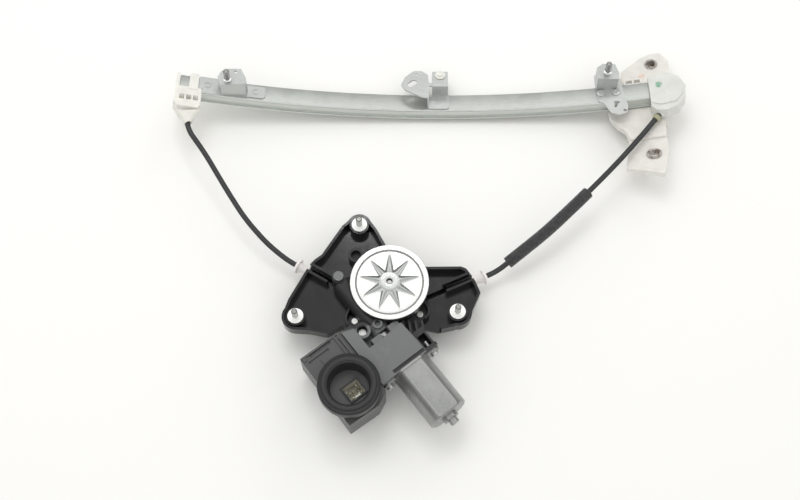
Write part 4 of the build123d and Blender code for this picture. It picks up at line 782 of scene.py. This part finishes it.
def ray_height(radius, angle):
    """Height of the pressed rays in millimetres over the cover's flat, highest at the hub."""
    along = (radius - RAY_FOOT_R) / RAY_LENGTH
    if radius < 8 or along >= 1:
        return -1
    along = max(along, 0)
    ray_step = 2 * math.pi / RAYS
    nearest = round((angle - math.pi / 2) / ray_step) * 2 * math.pi / RAYS + math.pi / 2
    half_width = RAY_HALF_WIDTH * (1 - along) + RAY_TIP_HALF_WIDTH
    aside = abs(math.sin(angle - nearest)) * radius / half_width
    if aside >= 1:
        return -1
    fade = min(1, (1 - along) / 0.06)
    return -0.2 + fade * (1.6 * (1 - along) ** 0.8 + 0.3) * (1 - aside ** 1.6) ** 0.9


def cover_point(radius, angle, height):
    return radius * math.cos(angle) / 1000, radius * math.sin(angle) / 1000, height / 1000


form = bmesh.new()
angles = [2 * math.pi * spoke / SPOKES for spoke in range(SPOKES)]
rings = []
for radius in RADII:
    heights = [max(plain_height(radius), ray_height(radius, angle)) for angle in angles]
    rings.append([form.verts.new(cover_point(radius, *pair)) for pair in zip(angles, heights)])
for radius, height in RIM:
    rings.append([form.verts.new(cover_point(radius, angle, height)) for angle in angles])
for ring, after in zip(rings, rings[1:]):
    for i in range(SPOKES):
        form.faces.new((ring[i - 1], after[i - 1], after[i], ring[i]))
bmesh.ops.translate(form, verts=form.verts, vec=(cover_axis.x, cover_axis.y, cover_top))
bright_steel, steel_nodes, steel_surface = shader("bright_steel")
# Painted shade on one steel: the raised rays, the hub and the sunk groove are painted darker than the flat,
# for how light falls on them.
PLATE_STEEL = (0.87, 0.87, 0.855)
RAY_PAINTED_SHADE = (0.4, 0.412, 0.404)
HUB_PAINTED_SHADE = (0.6, 0.615, 0.6)
GROOVE_PAINTED_SHADE = (0.25, 0.25, 0.25)
steel_z = node(steel_nodes, "ShaderNodeSeparateXYZ", {0: place_on_piece(steel_nodes)}).outputs["Z"]
raised = graded(steel_nodes, steel_z, cover_top - 0.00017, cover_top + 0.0003, 0.0, 1.0)
cover_middle = (cover_axis.x, cover_axis.y, cover_top)
within_groove = near_point(steel_nodes, cover_middle, FLAT_R, 0.01)
raised = node(steel_nodes, "ShaderNodeMath", {0: raised, 1: within_groove}, operation="MULTIPLY").outputs[0]
base = tinted(steel_nodes, raised, PLATE_STEEL, RAY_PAINTED_SHADE)
at_hub = near_point(steel_nodes, cover_middle, HUB_R, 0.1)
base = tinted(steel_nodes, at_hub, base, HUB_PAINTED_SHADE)
sunk = graded(steel_nodes, steel_z, cover_top - 0.00025, cover_top - 0.0006, 0.0, 1.0)
base = tinted(steel_nodes, sunk, base, GROOVE_PAINTED_SHADE)
steel_nodes.links.new(base, steel_surface.inputs["Base Color"])
steel_surface.inputs["Metallic"].default_value = 0.9
blur = cloud(steel_nodes, 0.015, 2)
steel_nodes.links.new(graded(steel_nodes, blur, 0.3, 0.7, 0.2, 0.32), steel_surface.inputs["Roughness"])
raise_surface(steel_nodes, steel_surface, blur, 0.0001, 0.4)
cover = finished("pressed_star_cover", form, bright_steel, ROOT, 50)
wall = cover.modifiers.new("sheet", "SOLIDIFY")
wall.thickness = SHEET
wall.offset = -1
wall.use_even_offset = True
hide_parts("gear_cover")

# ---- Motor ----
# Drawn steel can with two flats, held by two screws, over the magnets and the armature
# with its windings, commutator and brushes.
# Tilted faces of the can are painted at 0.97 of the colour, a slight painted shade.
can_steel = rolled_sheet("can_steel", (0.36, 0.365, 0.355), (0.4, 1, 1), 0.9, 0.97)
dress("motor_can", can_steel, 0.0005, 50)
dress("can_screws", fastener_zinc, 0.0005)


def sintered(name, colour):
    material, tree, surface = shader(name)
    grain = cloud(tree, 0.0006, 4)
    base = tinted(tree, graded(tree, grain, 0.35, 0.65, 0.0, 1.0), tuple(0.6 * c for c in colour), colour)
    tree.links.new(base, surface.inputs["Base Color"])
    surface.inputs["Roughness"].default_value = 0.6
    raise_surface(tree, surface, grain, 0.00005)
    return material


ferrite = sintered("ferrite", (0.1, 0.1, 0.1))
for core in ("field_magnets", "armature_core"):
    dress(core, ferrite, 0.0002)
dress("carbon_brushes", sintered("carbon", (0.05, 0.05, 0.05)), 0.0002)
dress("armature_windings", bright_zinc("enamelled_copper", (0.6, 0.25, 0.1)), 0.0003)
dress("commutator", bright_zinc("bare_copper", (0.7, 0.35, 0.2)), 0.0002)
dress("brush_holder", natural_acetal("holder_resin", (0.5, 0.4, 0.25)), 0.0002)
for steel in ("armature_shaft", "rear_bearing", "shaft_bushes"):
    dress(steel, ground_steel, 0.0002)

# ---- Control box and connector ----
# The motor's electronics sit in a second, darker grey box. Its ivory connector, dark round
# its rim, stands in a round rubber seal that closes the door's hole and has two shallow
# grooves in its face.
dress("control_box", black_moulding("box_moulding", (0.076, 0.077, 0.077), 0.12, (0.3, 0.45)), 0.0004)
# Radius and height in millimetres
SEAL_SECTION = [
    (17.6, 0.1), (25.6, 0.1), (26.3, 3), (28.3, 6.4), (28.7, 7.5), (28.75, 15), (28.4, 16.7), (27.2, 18),
    (25.8, 18.6), (25.3, 18.2), (24.8, 18.2), (24.3, 18.8), (22.6, 19.1), (21.2, 18.8), (20.8, 18.3),
    (20.3, 18.3), (19.5, 17.8), (18.8, 16.8), (18.5, 15), (18.3, 11), (17.6, 6), (17.6, 0.1),
]
low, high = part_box("connector_seal")
form = bmesh.new()
lathe(form, [(radius / 1000, height / 1000) for radius, height in SEAL_SECTION], 96)
bmesh.ops.translate(form, verts=form.verts, vec=((low.x + high.x) / 2, (low.y + high.y) / 2, low.z - 0.00005))
seal = finished("lipped_seal", form, seal_rubber, ROOT, 30)
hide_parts("connector_seal")
ivory_resin = natural_acetal("ivory_resin", (0.8, 0.78, 0.7))
ivory_nodes = ivory_resin.node_tree
ivory_surface = ivory_nodes.nodes["Principled BSDF"]
moulded_ivory = ivory_surface.inputs["Base Color"].links[0].from_socket
shell_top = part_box("connector_shell")[1].z
DARK_RIM = (0.03, 0.03, 0.03)
shell_z = node(ivory_nodes, "ShaderNodeSeparateXYZ", {0: place_on_piece(ivory_nodes)}).outputs["Z"]
framed = graded(ivory_nodes, shell_z, shell_top - 0.0024, shell_top - 0.0016, 0.0, 1.0)
rimmed = tinted(ivory_nodes, framed, moulded_ivory, DARK_RIM)
ivory_nodes.links.new(rimmed, ivory_surface.inputs["Base Color"])
dress("connector_shell", ivory_resin, 0.0003)
dress("terminal_pins", bright_zinc("tinned_brass", (0.7, 0.66, 0.5)), 0.0001)
dress("circuit_board", sintered("board_lacquer", (0.05, 0.2, 0.1)), 0.0002)
